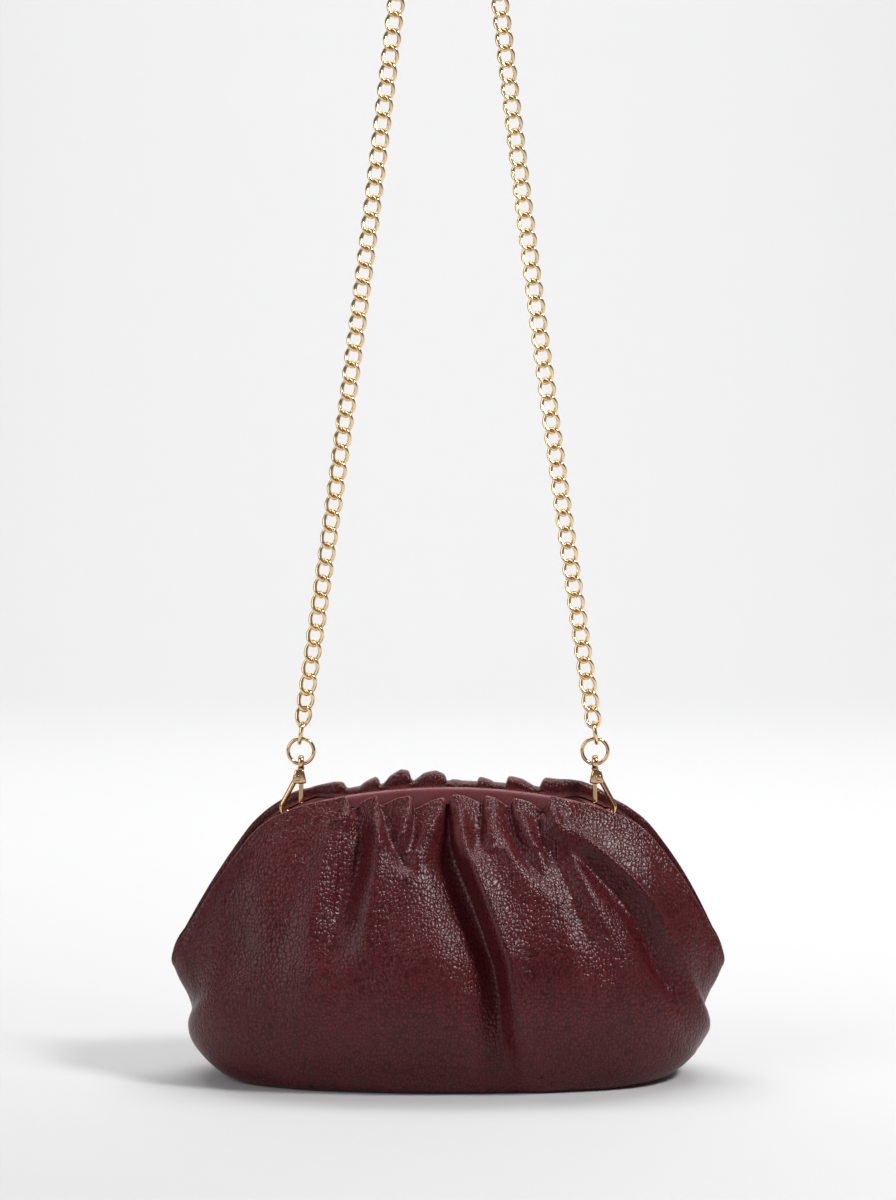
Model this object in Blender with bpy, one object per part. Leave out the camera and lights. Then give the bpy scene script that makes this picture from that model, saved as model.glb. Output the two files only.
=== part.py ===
"""Hinged-frame clutch bag in pleated leather with a curb-chain strap.

Metres, +Z up, +X to the right, the front faces -Y. The origin is on the surface that the bag
stands on, under its middle. The back half is fixed, and the front frame turns about +X at the
two hinges. The strap swings about +X at its anchor loops and at its two O-rings.
"""

import math

import bmesh
import bpy
from mathutils import Matrix, Vector

# Clearances
GAP = 0.0003
CUT_OVERRUN = 0.002

# Frame bars and their hinges
HINGE_X = 0.1265
HINGE_Z = 0.057
CORNER_X = 0.082
CORNER_Z = 0.129
FRAME_TOP_Z = 0.1398
CORNER_REACH = 0.022
BAR_THICKNESS = 0.002
BAR_HEIGHT = 0.007
BOW_CENTRE = 0.0033
BOW_CORNER = 0.0066
BOW_TIP = 0.002
EAR_RADIUS = 0.0032
EAR_THICKNESS = 0.001
EAR_REACH = 0.0024
RIVET_RADIUS = 0.0014
RIVET_HEAD_RADIUS = 0.0026
RIVET_HEAD_THICKNESS = 0.0008

# Leather covers that wrap the bars
COVER_WALL = 0.0016
COVER_HEIGHT = 0.014
COVER_DEPTH = 2 * COVER_WALL + BAR_THICKNESS + 2 * GAP

# Pleated leather shells
LEATHER = 0.0016
SEAM_GAP = 0.0008
EDGE_RISE = 0.0017
SHOULDER_LAP = 0.0035
SHOULDER_RISE = 0.0075
RUFFLE_RISE = 0.0072
RUFFLE_SHOULDER_RISE = 0.0135
TIP_LAP = 0.010
TIP_RISE = 0.0035
BELLY_DEPTH = 0.059
FOLD_DEPTH = 0.010
FOLD_WIDTH = 0.010
PLEAT_STACK = 0.0035
PLEATED_X = 0.049

# Lining, base board and pocket
LINING = 0.0008
BOARD_THICKNESS = 0.002
BOARD_MARGIN = 0.006
POCKET_SHEET = 0.0009
MAGNET_RADIUS = 0.005
MAGNET_X = 0.028
MAGNET_DROP = 0.0025
LINING_SLACK = 0.0065
POCKET_SIDE_SHARE = 0.3
POCKET_ROWS = (1, 4)

# Strap anchors, hooks and rings
ANCHOR_X = 0.0778
ANCHOR_Z = 0.1323
LOOP_WIRE = 0.001
LOOP_HEIGHT = 0.0098
LOOP_REACH = 0.0041
PLATE_WIDTH = 0.008
PLATE_HEIGHT = 0.0112
PLATE_THICKNESS = 0.0012
HOOK_WIRE = 0.0013
HOOK_HALF_THICKNESS = 0.0015
THROAT_RADIUS = 0.0035
HEAD_HALF_WIDTH = 0.0035
HEAD_HEIGHT = 0.0062
HEAD_HALF_THICKNESS = 0.0019
HEAD_RISE = 0.0145
HEAD_SHIFT = 0.0039
HEAD_WALL = 0.0009
PIN_RADIUS = 0.0008
PIN_SHIFT = 0.0009
PIN_RISE_SHARE = 0.4
PIN_RISE = HEAD_HEIGHT * PIN_RISE_SHARE
PIN_HEAD_RADIUS = 0.0013
PIN_HEAD = 0.0004
KNUCKLE_RADIUS = 0.0017
GATE_HALF_WIDTH = 0.0011
GATE_WEB = 0.0006
NOSE_GAP = 0.0009
POST_RADIUS = 0.001
POST_DEPTH = 0.0013
EYE_RADIUS = 0.0028
EYE_WIRE = 0.0008
RING_RADIUS = 0.00635
RING_WIRE = 0.0009

# Curb chain
LINK_WIRE = 0.00085
LINK_WIDTH = 0.0088
LINK_PITCH = 0.0082
LINK_TWIST = math.radians(52)
FUSE_LAP = 0.0004
LINK_LENGTH = LINK_PITCH + 4 * LINK_WIRE - FUSE_LAP
CHAIN_RISE = 0.371
CHAIN_TOP_X = 0.024
CHAIN_TOP_LEAN = 0.113

# Mesh counts
FRAME_STEPS = 34
COVER_END_STEP = 2
BAR_END_STEP = 1
LEATHER_STEPS = 50
LINING_STEPS = 26
EDGE_STEPS = 960
BOARD_STEPS = 28
LOOP_BEND_STEPS = 6
HOOK_BEND_STEPS = 9
EYE_STEPS = 12
RUN_STEPS = 60
WIRE_SIDES = 6
LINK_STEPS = 8
LINK_SIDES = 3
RING_STEPS = 20
ROUND_STEPS = 12

# Rows of the shell from the frame edge to the seam under the base. The shares are the drop from
# the edge to the base, the width, the hold of the rim, the swell of the belly, and how round
# the row is in plan.
ROW_SHARES = (
    (0.00, 1.000, 1.00, 0.00, 0.0),
    (0.05, 0.990, 0.90, 0.12, 0.1),
    (0.14, 0.975, 0.70, 0.35, 0.3),
    (0.28, 0.945, 0.50, 0.60, 0.5),
    (0.42, 0.930, 0.30, 0.80, 0.7),
    (0.56, 0.945, 0.10, 0.95, 0.9),
    (0.70, 0.930, 0.00, 1.00, 1.0),
    (0.84, 0.885, 0.00, 0.94, 1.0),
    (0.95, 0.825, 0.00, 0.84, 1.0),
    (1.00, 0.760, 0.00, 0.73, 1.0),
    (1.00, 0.755, 0.00, 0.36, 1.0),
    (1.00, 0.750, 0.00, 0.00, 1.0),
)

# The lining's folds are wider than those of the leather by this share.
LINING_SOFTEN_SHARE = 1.4

# Columns of the shell are closer together in the middle, by this share of their even distance.
MIDDLE_SHARE = 0.6

# How far round a tip the shell closes, and how square it is in plan: powers of sine and cosine.
NOSE_SHARE = 12
PLAN_SHARES = (0.86, 0.72)

# Part of its depth by which a fold pushes the leather out beside it, and the power of its flanks
RIDGE_SHARE = 0.22
FLANK_SHARE = 1.7

# One entry per fold, from left to right: its depth, the widths of its left and right flanks, and
# its places as shares across, down, and of the depth.
FRONT_FOLD_SHARES = (
    (0.25, 1.6, 1.1, ((-0.55, 0.30, 0.0), (-0.61, 0.45, 0.9), (-0.63, 0.62, 1.0), (-0.62, 0.80, 0.0))),
    (0.85, 1.2, 0.6, ((-0.35, 0.00, 0.4), (-0.33, 0.05, 0.5), (-0.32, 0.13, 1.0), (-0.34, 0.25, 1.0),
                      (-0.38, 0.34, 0.8), (-0.43, 0.56, 0.0))),
    (0.50, 0.3, 0.6, ((-0.24, 0.00, 0.7), (-0.21, 0.11, 1.0), (-0.17, 0.18, 0.8), (-0.13, 0.25, 0.0))),
    (0.50, 0.3, 0.5, ((-0.12, 0.00, 0.7), (-0.125, 0.11, 1.0), (-0.14, 0.23, 0.0))),
    (1.35, 1.5, 0.5, ((0.00, 0.00, 0.3), (0.015, 0.12, 0.8), (0.07, 0.20, 1.0), (0.13, 0.40, 1.0),
                      (0.165, 0.53, 0.95), (0.18, 0.66, 0.8), (0.18, 0.79, 0.55), (0.23, 1.00, 0.0))),
    (0.45, 0.5, 0.3, ((0.125, 0.00, 0.7), (0.11, 0.11, 1.0), (0.08, 0.22, 0.0))),
    (0.55, 0.6, 0.4, ((0.22, 0.00, 0.6), (0.24, 0.11, 1.0), (0.27, 0.17, 0.9), (0.38, 0.31, 0.0))),
    (0.75, 0.8, 0.7, ((0.35, 0.00, 0.5), (0.34, 0.11, 0.9), (0.40, 0.20, 1.0), (0.49, 0.41, 0.7),
                      (0.57, 0.68, 0.0))),
    (0.40, 1.2, 0.9, ((0.62, 0.28, 0.0), (0.69, 0.38, 0.7), (0.78, 0.50, 1.0), (0.84, 0.62, 0.9),
                      (0.86, 0.76, 0.0))),
)
BACK_FOLD_SHARES = (
    (0.60, 0.7, 0.7, ((-0.37, 0.00, 0.6), (-0.40, 0.16, 1.0), (-0.45, 0.30, 0.7), (-0.50, 0.46, 0.0))),
    (0.50, 0.4, 0.6, ((-0.24, 0.00, 0.7), (-0.26, 0.14, 1.0), (-0.28, 0.26, 0.0))),
    (0.95, 1.2, 0.5, ((-0.13, 0.00, 0.35), (-0.15, 0.14, 0.8), (-0.18, 0.25, 1.0), (-0.21, 0.42, 1.0),
                      (-0.23, 0.60, 0.7), (-0.24, 0.80, 0.0))),
    (0.45, 0.4, 0.4, ((0.01, 0.00, 0.6), (0.00, 0.14, 0.9), (0.015, 0.24, 0.0))),
    (0.85, 0.5, 1.2, ((0.12, 0.00, 0.4), (0.15, 0.14, 0.9), (0.19, 0.26, 1.0), (0.24, 0.42, 0.9),
                      (0.285, 0.58, 0.5), (0.315, 0.74, 0.0))),
    (0.50, 0.5, 0.5, ((0.23, 0.00, 0.7), (0.26, 0.14, 0.9), (0.31, 0.25, 0.0))),
    (0.65, 0.7, 0.9, ((0.35, 0.00, 0.5), (0.40, 0.16, 1.0), (0.47, 0.32, 0.8), (0.54, 0.50, 0.0))),
)

# Colours: (red, green, blue), roughness, metallic
LEATHER_LOOK = ((0.085, 0.022, 0.025), 0.45, 0.0)
LINING_LOOK = ((0.09, 0.035, 0.035), 0.85, 0.0)
GOLD_LOOK = ((0.86, 0.68, 0.40), 0.18, 1.0)
STEEL_LOOK = ((0.55, 0.55, 0.56), 0.35, 1.0)
BOARD_LOOK = ((0.10, 0.09, 0.08), 0.9, 0.0)


def clear_scene():
    for old in list(bpy.data.objects):
        bpy.data.objects.remove(old, do_unlink=True)


def material(name, look):
    colour, roughness, metallic = look
    made = bpy.data.materials.new(name)
    made.use_nodes = True
    shader = made.node_tree.nodes["Principled BSDF"]
    shader.inputs["Base Color"].default_value = (*colour, 1)
    shader.inputs["Roughness"].default_value = roughness
    shader.inputs["Metallic"].default_value = metallic
    return made


def add_object(name, mesh, look, parent=None, smooth_angle=40):
    made = bpy.data.objects.new(name, mesh)
    bpy.context.scene.collection.objects.link(made)
    mesh.materials.append(material(name, look))
    mesh.shade_smooth()
    mesh.set_sharp_from_angle(angle=math.radians(smooth_angle))
    if parent is not None:
        made.parent = parent
        made.matrix_parent_inverse = Matrix.Translation(-world_place(parent))
    return made


def world_place(pivot):
    """Where a pivot is in the world. Pivots are never turned."""
    if pivot.parent is None:
        return pivot.location.copy()
    return pivot.location + world_place(pivot.parent)


def add_pivot(name, place, parent=None):
    pivot = bpy.data.objects.new(name, None)
    bpy.context.scene.collection.objects.link(pivot)
    pivot.location = place
    if parent is not None:
        pivot.parent = parent
        pivot.location = Vector(place) - world_place(parent)
    return pivot


def mesh_of(name, build):
    """A mesh made by build(bm), with its faces turned outwards."""
    bm = bmesh.new()
    build(bm)
    bmesh.ops.recalc_face_normals(bm, faces=bm.faces)
    mesh = bpy.data.meshes.new(name)
    bm.to_mesh(mesh)
    bm.free()
    return mesh


def loft(bm, rings, closed=False):
    """Skins rings of points, each a closed outline, with end caps unless the loft is closed."""
    rows = [[bm.verts.new(point) for point in ring] for ring in rings]
    count = len(rows[0])
    pairs = list(zip(rows, rows[1:]))
    if closed:
        pairs.append((rows[-1], rows[0]))
    for low, high in pairs:
        for i in range(count):
            j = (i + 1) % count
            bm.faces.new((low[i], low[j], high[j], high[i]))
    if not closed:
        bm.faces.new(rows[0][::-1])
        bm.faces.new(rows[-1])


def directions(points, closed=False):
    """The unit direction of travel at each point of a line."""
    count = len(points)
    found = []
    for i in range(count):
        after = points[(i + 1) % count] if closed else points[min(i + 1, count - 1)]
        before = points[i - 1] if closed else points[max(i - 1, 0)]
        found.append((after - before).normalized())
    return found


def tube(bm, points, side, half_side, half_up, sides=WIRE_SIDES, closed=False):
    """Sweeps a round or oval section along points. side is the section's fixed first axis."""
    rings = []
    for point, ahead in zip(points, directions(points, closed)):
        up = ahead.cross(side).normalized()
        ring = []
        for k in range(sides):
            angle = 2 * math.pi * (k + 0.5) / sides
            ring.append(point + side * half_side * math.cos(angle) + up * half_up * math.sin(angle))
        rings.append(ring)
    loft(bm, rings, closed)


def cylinder(bm, start, end, radius, steps=ROUND_STEPS):
    """A round bar from start to end."""
    start, end = Vector(start), Vector(end)
    axis = (end - start).normalized()
    first = axis.orthogonal().normalized()
    second = axis.cross(first)
    outline = []
    for k in range(steps):
        angle = 2 * math.pi * k / steps
        outline.append((first * math.cos(angle) + second * math.sin(angle)) * radius)
    loft(bm, [[start + spoke for spoke in outline], [end + spoke for spoke in outline]])


def turned(bm, centre, axis, profile, steps=ROUND_STEPS):
    """A turned piece along an axis. The profile is pairs of place along the axis and radius."""
    first = axis.orthogonal().normalized()
    second = axis.cross(first)
    rings = []
    for along, radius in profile:
        ring = circle(centre + axis * along, first, second, radius, steps)
        rings.append(ring)
    loft(bm, rings)


def circle(centre, first, second, radius, steps):
    points = []
    for k in range(steps):
        angle = 2 * math.pi * k / steps
        points.append(centre + (first * math.cos(angle) + second * math.sin(angle)) * radius)
    return points


def headed_pin(bm, centre, axis, grip, radius, head_radius, head):
    """A pin with a head at each end. grip is half the distance between its heads."""
    turned(bm, centre, axis, (
        (-grip - head, head_radius), (-grip, head_radius), (-grip, radius),
        (grip, radius), (grip, head_radius), (grip + head, head_radius)))


def box(bm, low, high):
    corners = [Vector((x, y, low[2])) for x, y in
               ((low[0], low[1]), (high[0], low[1]), (high[0], high[1]), (low[0], high[1]))]
    lift = Vector((0, 0, high[2] - low[2]))
    loft(bm, [corners, [corner + lift for corner in corners]])


def boolean(target, operation, *builds):
    """Joins or cuts shapes that build functions make, each as a hidden helper object."""
    for i, build in enumerate(builds):
        name = f"{target.name}_{operation.lower()}_{i}"
        helper = bpy.data.objects.new(name, mesh_of(name, build))
        bpy.context.scene.collection.objects.link(helper)
        helper.hide_render = True
        helper.display_type = "WIRE"
        modifier = target.modifiers.new(name, "BOOLEAN")
        modifier.operation = operation
        modifier.object = helper
        modifier.solver = "EXACT"


def resampled(points, count):
    """count + 1 points at even distances along a line."""
    steps = [0.0]
    for before, after in zip(points, points[1:]):
        steps.append(steps[-1] + (after - before).length)
    found = []
    place = 0
    for i in range(count + 1):
        wanted = steps[-1] * i / count
        while place < len(steps) - 2 and steps[place + 1] < wanted:
            place += 1
        share = (wanted - steps[place]) / (steps[place + 1] - steps[place])
        found.append(points[place].lerp(points[place + 1], share))
    return found


def arch(tip_x, tip_z, corner_x, corner_z, top_z, count):
    """An outline in XZ from the left tip over the top to the right one, y 0."""
    tip = Vector((tip_x, 0, tip_z))
    corner = Vector((corner_x, 0, corner_z))
    slope_end = corner + (tip - corner).normalized() * CORNER_REACH
    flat_x = corner_x - CORNER_REACH
    flat_end = Vector((flat_x, 0, top_z - (top_z - corner_z) * (flat_x / corner_x) ** 2))
    half = [tip, slope_end]
    bend_steps = 8
    for i in range(1, bend_steps + 1):
        t = i / bend_steps
        half.append(slope_end * (1 - t) ** 2 + corner * 2 * t * (1 - t) + flat_end * t ** 2)
    for i in range(1, bend_steps):
        x = flat_x * (1 - i / bend_steps)
        half.append(Vector((x, 0, top_z - (top_z - corner_z) * (x / corner_x) ** 2)))
    left = [Vector((-point.x, 0, point.z)) for point in half]
    return resampled(left + [Vector((0, 0, top_z))] + half[::-1], count)


def bow(share):
    """Half the space between the two covers. share runs from -1 at the left tip to 1."""
    x = abs(share)
    corner_share = 0.55
    if x < corner_share:
        return BOW_CENTRE + (BOW_CORNER - BOW_CENTRE) * math.sin(x / corner_share * math.pi / 2) ** 2
    run = (x - corner_share) / (1 - corner_share)
    return BOW_CORNER + (BOW_TIP - BOW_CORNER) * math.sin(run * math.pi / 2) ** 2


def frame_line(count=FRAME_STEPS):
    return arch(HINGE_X, HINGE_Z, CORNER_X, CORNER_Z, FRAME_TOP_Z, count)


def share_at(x):
    """The place along the frame line, from -1 to 1, that is x to the right of the middle."""
    line = frame_line()
    for i, (before, after) in enumerate(zip(line, line[1:])):
        if before.x <= x <= after.x:
            return 2 * (i + (x - before.x) / (after.x - before.x)) / (len(line) - 1) - 1
    return 1.0


def spread(count):
    """count + 1 places from -1 to 1, closer together in the middle."""
    even = [2 * i / count - 1 for i in range(count + 1)]
    return [place * (MIDDLE_SHARE + (1 - MIDDLE_SHARE) * place ** 2) for place in even]


def edge_line(side, shares):
    """Points of the top edge of a shell. side is -1 for the front and 1 for the back."""
    rise, shoulder = (EDGE_RISE, SHOULDER_RISE) if side < 0 else (RUFFLE_RISE, RUFFLE_SHOULDER_RISE)
    line = arch(HINGE_X + TIP_LAP, HINGE_Z + TIP_RISE, CORNER_X + SHOULDER_LAP,
                CORNER_Z + shoulder, FRAME_TOP_Z + rise, EDGE_STEPS)
    return [line[round((share + 1) / 2 * EDGE_STEPS)] for share in shares]


def fold_at(places, drop):
    """Where a fold is across, and its strength, at a drop."""
    for before, after in zip(places, places[1:]):
        if before[1] <= drop <= after[1]:
            t = (drop - before[1]) / (after[1] - before[1])
            return before[0] + (after[0] - before[0]) * t, before[2] + (after[2] - before[2]) * t
    return 0, 0


def fold_push(x, drop, folds, soften):
    """How far the leather is drawn in by its folds at a place on the shell."""
    push = 0.0
    for depth, left, right, places in folds:
        across, strength = fold_at(places, drop)
        away = (x - across * (HINGE_X + TIP_LAP)) / (FOLD_WIDTH * soften)
        deep = depth * strength * FOLD_DEPTH
        push += deep * math.exp(-abs(away / (left if away < 0 else right)) ** FLANK_SHARE)
        steep, gentle = sorted((left, right))
        way = 1 if left > right else -1
        beside = (away * way - steep * 1.5 - 0.4) / (0.55 * gentle + 0.2)
        push -= deep * RIDGE_SHARE * math.exp(-beside ** 2)
    return push


def pleat_lift(x, drop):
    """How far the stacked pleats stand out from the cover, near their top edge."""
    inside = min(1.0, max(0.0, (PLEATED_X - abs(x)) / FOLD_WIDTH + 0.5))
    return PLEAT_STACK * inside * min(1.0, max(0.0, (0.35 - drop) / 0.25))


def shell_grid(side, folds, columns, soften=1.0):
    """Points of a shell, row by row. side is -1 for the front and 1 for the back."""
    shares = spread(columns)
    start_row = edge_line(side, shares)
    tip_x = start_row[-1].x
    square_x, square_y = PLAN_SHARES
    grid = []
    for drop, width, hold, swell, roundness in ROW_SHARES:
        row = []
        for share, start in zip(shares, start_row):
            angle = share * math.pi / 2
            nose = min(1.0, math.sqrt(NOSE_SHARE * max(0.0, 1 - abs(share))))
            plan_x = math.copysign(abs(math.sin(angle)) ** square_x, share) * tip_x
            plan_y = max(math.cos(angle), 0.0) ** square_y
            x = (start.x + (plan_x - start.x) * roundness) * width
            rim = (bow(share) + COVER_DEPTH + GAP + LEATHER) * nose
            floor = rim * min(1.0, max(0.0, (0.6 - drop) / 0.3))
            belly = rim * hold + BELLY_DEPTH * swell * plan_y
            if drop < 1:
                belly += pleat_lift(x, drop) - fold_push(x, drop, folds, soften) * plan_y
            row.append(Vector((x, side * (max(belly, floor) + SEAM_GAP / 2), start.z * (1 - drop))))
        grid.append(row)
    return grid


def grid_normals(grid, side):
    """The outward direction at each point of a shell."""
    rows, columns = len(grid), len(grid[0])
    found = []
    for r in range(rows):
        line = []
        for c in range(columns):
            across = grid[r][min(c + 1, columns - 1)] - grid[r][max(c - 1, 0)]
            down = grid[min(r + 1, rows - 1)][c] - grid[max(r - 1, 0)][c]
            line.append((across.cross(down) * side).normalized())
        found.append(line)
    return found


def drawn_in(grid, side, depth):
    """The same shell, drawn in by a depth, with its side edges kept in their seam."""
    moved = []
    for row, ways in zip(grid, grid_normals(grid, side)):
        line = []
        for i, (point, way) in enumerate(zip(row, ways)):
            if i in (0, len(row) - 1):
                way = Vector((way.x, 0, way.z)).normalized()
            inner = point - way * depth
            inner.y = side * max(inner.y * side, SEAM_GAP / 2)
            line.append(inner)
        moved.append(line)
    return moved


def add_sheet(name, grid, side, thickness, look):
    """A closed sheet between a grid of points and the same grid drawn in by its thickness."""
    inner = drawn_in(grid, side, thickness)

    def build(bm):
        faces = []
        for skin in (grid, inner):
            faces.append([[bm.verts.new(point) for point in row] for row in skin])
        outside, inside = faces
        for r in range(len(grid) - 1):
            for c in range(len(grid[0]) - 1):
                for skin in (outside, inside):
                    bm.faces.new((skin[r][c], skin[r][c + 1], skin[r + 1][c + 1], skin[r + 1][c]))
        rims = []
        for skin in (outside, inside):
            rims.append(skin[0] + [row[-1] for row in skin[1:]] + skin[-1][-2::-1]
                        + [row[0] for row in skin[-2:0:-1]])
        count = len(rims[0])
        for k in range(count):
            after = (k + 1) % count
            bm.faces.new((rims[0][k], rims[0][after], rims[1][after], rims[1][k]))

    return add_object(name, mesh_of(name, build), look)


def leather(name, side):
    folds = FRONT_FOLD_SHARES if side < 0 else BACK_FOLD_SHARES
    grid = shell_grid(side, folds, LEATHER_STEPS)
    add_sheet(name, grid, side, LEATHER, LEATHER_LOOK)


def path_normals(line):
    """The outward normals, in XZ, of a line that runs from left to right over the top."""
    return [Vector((-ahead.z, 0, ahead.x)) for ahead in directions(line)]


def lining_grid(side, inset):
    """The lining hangs from the lower edge of its cover, inside the folds of the leather."""
    folds = FRONT_FOLD_SHARES if side < 0 else BACK_FOLD_SHARES
    grid = shell_grid(side, folds, LINING_STEPS, LINING_SOFTEN_SHARE)
    normals = grid_normals(grid, side)
    board_inset = LEATHER + BOARD_THICKNESS + 2 * GAP
    hung = []
    for row, ways, shares in list(zip(grid, normals, ROW_SHARES))[3:]:
        drop, width = shares[0], shares[1]
        line = []
        for point, way in zip(row, ways):
            depth = inset + (board_inset - inset) * way.z ** 2
            moved = point - way * depth
            if drop == 1:
                moved = point * (1 - inset / (row[-1].x * width))
                moved.z = board_inset
            moved.y = side * max(moved.y * side, SEAM_GAP / 2)
            line.append(moved)
        hung.append(line)
    shares = spread(LINING_STEPS)
    line = frame_line(EDGE_STEPS)
    ways = path_normals(line)
    lower = COVER_HEIGHT - BAR_HEIGHT / 2 - COVER_WALL
    first = []
    for share in shares:
        place = round((share + 1) / 2 * EDGE_STEPS)
        nose = min(1.0, math.sqrt(NOSE_SHARE * max(0.0, 1 - abs(share))))
        hang = line[place] - ways[place] * lower
        hang.y = side * ((bow(share) + COVER_DEPTH / 2) * nose + SEAM_GAP / 2)
        first.append(hang)
    return [first] + hung


def pocket_grid(inset):
    """The slip pocket lies on the back lining, open at its top."""
    rows = lining_grid(1, inset)
    low, high = POCKET_ROWS
    side_columns = round(LINING_STEPS * POCKET_SIDE_SHARE)
    return [row[side_columns:-side_columns] for row in rows[low:high]]


def bar(name, side, parent):
    """A flat steel bar bent over the top, with an ear at each end for the hinge rivet."""
    line = frame_line()
    ways = path_normals(line)
    thick = Vector((0, BAR_THICKNESS / 2, 0))
    ear_x = HINGE_X + side * (EAR_THICKNESS + GAP) / 2
    sections = []
    for i in range(BAR_END_STEP, FRAME_STEPS + 1 - BAR_END_STEP):
        share = 2 * i / FRAME_STEPS - 1
        centre = line[i] + Vector((0, side * (bow(share) + COVER_DEPTH / 2), 0))
        sections.append((centre, thick, ways[i] * BAR_HEIGHT / 2))
    for end, where in ((0, -1), (-1, 1)):
        centre, a, b = sections[end]
        ear = Vector((where * ear_x, side * EAR_REACH, HINGE_Z + EAR_RADIUS))
        flat = Vector((EAR_THICKNESS / 2, 0, 0))
        wide = Vector((0, -EAR_REACH * 0.9, 0))
        middle = (centre.lerp(ear, 0.55), (thick + flat * where) * 0.5, (b + wide) * 0.6)
        foot = Vector((where * ear_x, side * EAR_REACH, HINGE_Z))
        ends = [middle, (ear, flat * where, wide), (foot, flat * where, wide)]
        sections = ends[::-1] + sections if end == 0 else sections + ends

    def build(bm):
        loft(bm, [[c - a - b, c + a - b, c + a + b, c - a + b] for c, a, b in sections])

    made = add_object(name, mesh_of(name, build), STEEL_LOOK, parent)
    for where in (-1, 1):
        low = where * (ear_x - EAR_THICKNESS / 2)
        high = where * (ear_x + EAR_THICKNESS / 2)
        boolean(made, "UNION", lambda bm, low=low, high=high: cylinder(
            bm, (low, 0, HINGE_Z), (high, 0, HINGE_Z), EAR_RADIUS))
        boolean(made, "DIFFERENCE", lambda bm, where=where: cylinder(
            bm, (where * (HINGE_X - CUT_OVERRUN), 0, HINGE_Z),
            (where * (HINGE_X + CUT_OVERRUN), 0, HINGE_Z), RIVET_RADIUS + GAP))
    return made


def hinge_rivet(name, where):
    """A headed rivet along X through the two ears."""
    centre = Vector((where * HINGE_X, 0, HINGE_Z))
    grip = EAR_THICKNESS + GAP * 1.5
    add_object(name, mesh_of(name, lambda bm: headed_pin(
        bm, centre, Vector((1, 0, 0)), grip, RIVET_RADIUS, RIVET_HEAD_RADIUS,
        RIVET_HEAD_THICKNESS)), GOLD_LOOK)


def cover(name, side, parent):
    """A leather channel over the bar, open along its lower edge."""
    line = frame_line()
    ways = path_normals(line)
    top = BAR_HEIGHT / 2 + GAP + COVER_WALL
    slot = BAR_HEIGHT / 2 + GAP
    low = top - COVER_HEIGHT
    out = COVER_DEPTH / 2
    inner = BAR_THICKNESS / 2 + GAP
    round_off = COVER_WALL * 0.6
    outline = ((out, low), (out, top - round_off), (out - round_off, top), (round_off - out, top),
               (-out, top - round_off), (-out, low), (-inner, low), (-inner, slot), (inner, slot),
               (inner, low))

    def build(bm):
        rings = []
        for i in range(COVER_END_STEP, FRAME_STEPS + 1 - COVER_END_STEP):
            share = 2 * i / FRAME_STEPS - 1
            centre = line[i] + Vector((0, side * (bow(share) + COVER_DEPTH / 2), 0))
            rings.append([centre + Vector((0, y, 0)) + ways[i] * up for y, up in outline])
        loft(bm, rings)

    add_object(name, mesh_of(name, build), LEATHER_LOOK, parent)


def base_board():
    """A stiff board that lies on the leather base."""
    low = LEATHER + GAP
    width_share, swell_share = ROW_SHARES[-3][1], ROW_SHARES[-3][3]
    half_x = (HINGE_X + TIP_LAP) * width_share - BOARD_MARGIN
    half_y = BELLY_DEPTH * swell_share - BOARD_MARGIN

    def build(bm):
        outline = []
        for k in range(BOARD_STEPS):
            angle = 2 * math.pi * k / BOARD_STEPS
            cos, sin = math.cos(angle), math.sin(angle)
            outline.append(Vector((math.copysign(abs(cos) ** 0.7, cos) * half_x,
                                   math.copysign(abs(sin) ** 0.85, sin) * half_y, low)))
        lift = Vector((0, 0, BOARD_THICKNESS))
        loft(bm, [outline, [point + lift for point in outline]])

    add_object("base_board", mesh_of("base_board", build), BOARD_LOOK)


def magnet(name, side, where, parent):
    """One disc of a magnetic snap, on the inner face of its cover."""
    outer = bow(share_at(MAGNET_X)) - GAP * 1.5

    def build(bm):
        z = FRAME_TOP_Z - MAGNET_DROP
        x = where * MAGNET_X
        cylinder(bm, (x, side * GAP / 2, z), (x, side * outer, z), MAGNET_RADIUS)

    add_object(name, mesh_of(name, build), GOLD_LOOK, parent)


def strap_loop(name, where):
    """A closed wire loop in the YZ plane, on a plate on the back cover's inner face."""
    face_y = bow(share_at(ANCHOR_X)) - GAP * 3
    x = where * ANCHOR_X
    plate_z = ANCHOR_Z - LOOP_HEIGHT / 2

    def build(bm):
        box(bm, (x - PLATE_WIDTH / 2, face_y - PLATE_THICKNESS, plate_z - PLATE_HEIGHT / 2),
            (x + PLATE_WIDTH / 2, face_y, plate_z + PLATE_HEIGHT / 2))

    def wire(bm):
        points = []
        back_y = face_y - PLATE_THICKNESS / 2
        bend = LOOP_HEIGHT / 2
        points.append(Vector((x, back_y, ANCHOR_Z)))
        for k in range(LOOP_BEND_STEPS + 1):
            angle = math.pi / 2 + math.pi * k / LOOP_BEND_STEPS
            points.append(Vector((x, -LOOP_REACH + bend * 0.5 * math.cos(angle) + bend * 0.5,
                                  plate_z + bend * math.sin(angle))))
        points.append(Vector((x, back_y, ANCHOR_Z - LOOP_HEIGHT)))
        tube(bm, points, Vector((1, 0, 0)), LOOP_WIRE, LOOP_WIRE)

    made = add_object(name, mesh_of(name, build), GOLD_LOOK)
    boolean(made, "UNION", wire)


def hook_place(where, across, up):
    """A point of a hook: across from the anchor wire towards the middle, and up from it."""
    return Vector((where * (ANCHOR_X - across), 0, ANCHOR_Z + up))


def hook_box(bm, where, across, half_y, up):
    """A box of a hook, from its two across and two up values."""
    xs = sorted(hook_place(where, value, 0).x for value in across)
    box(bm, (xs[0], -half_y, ANCHOR_Z + up[0]), (xs[1], half_y, ANCHOR_Z + up[1]))


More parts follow.
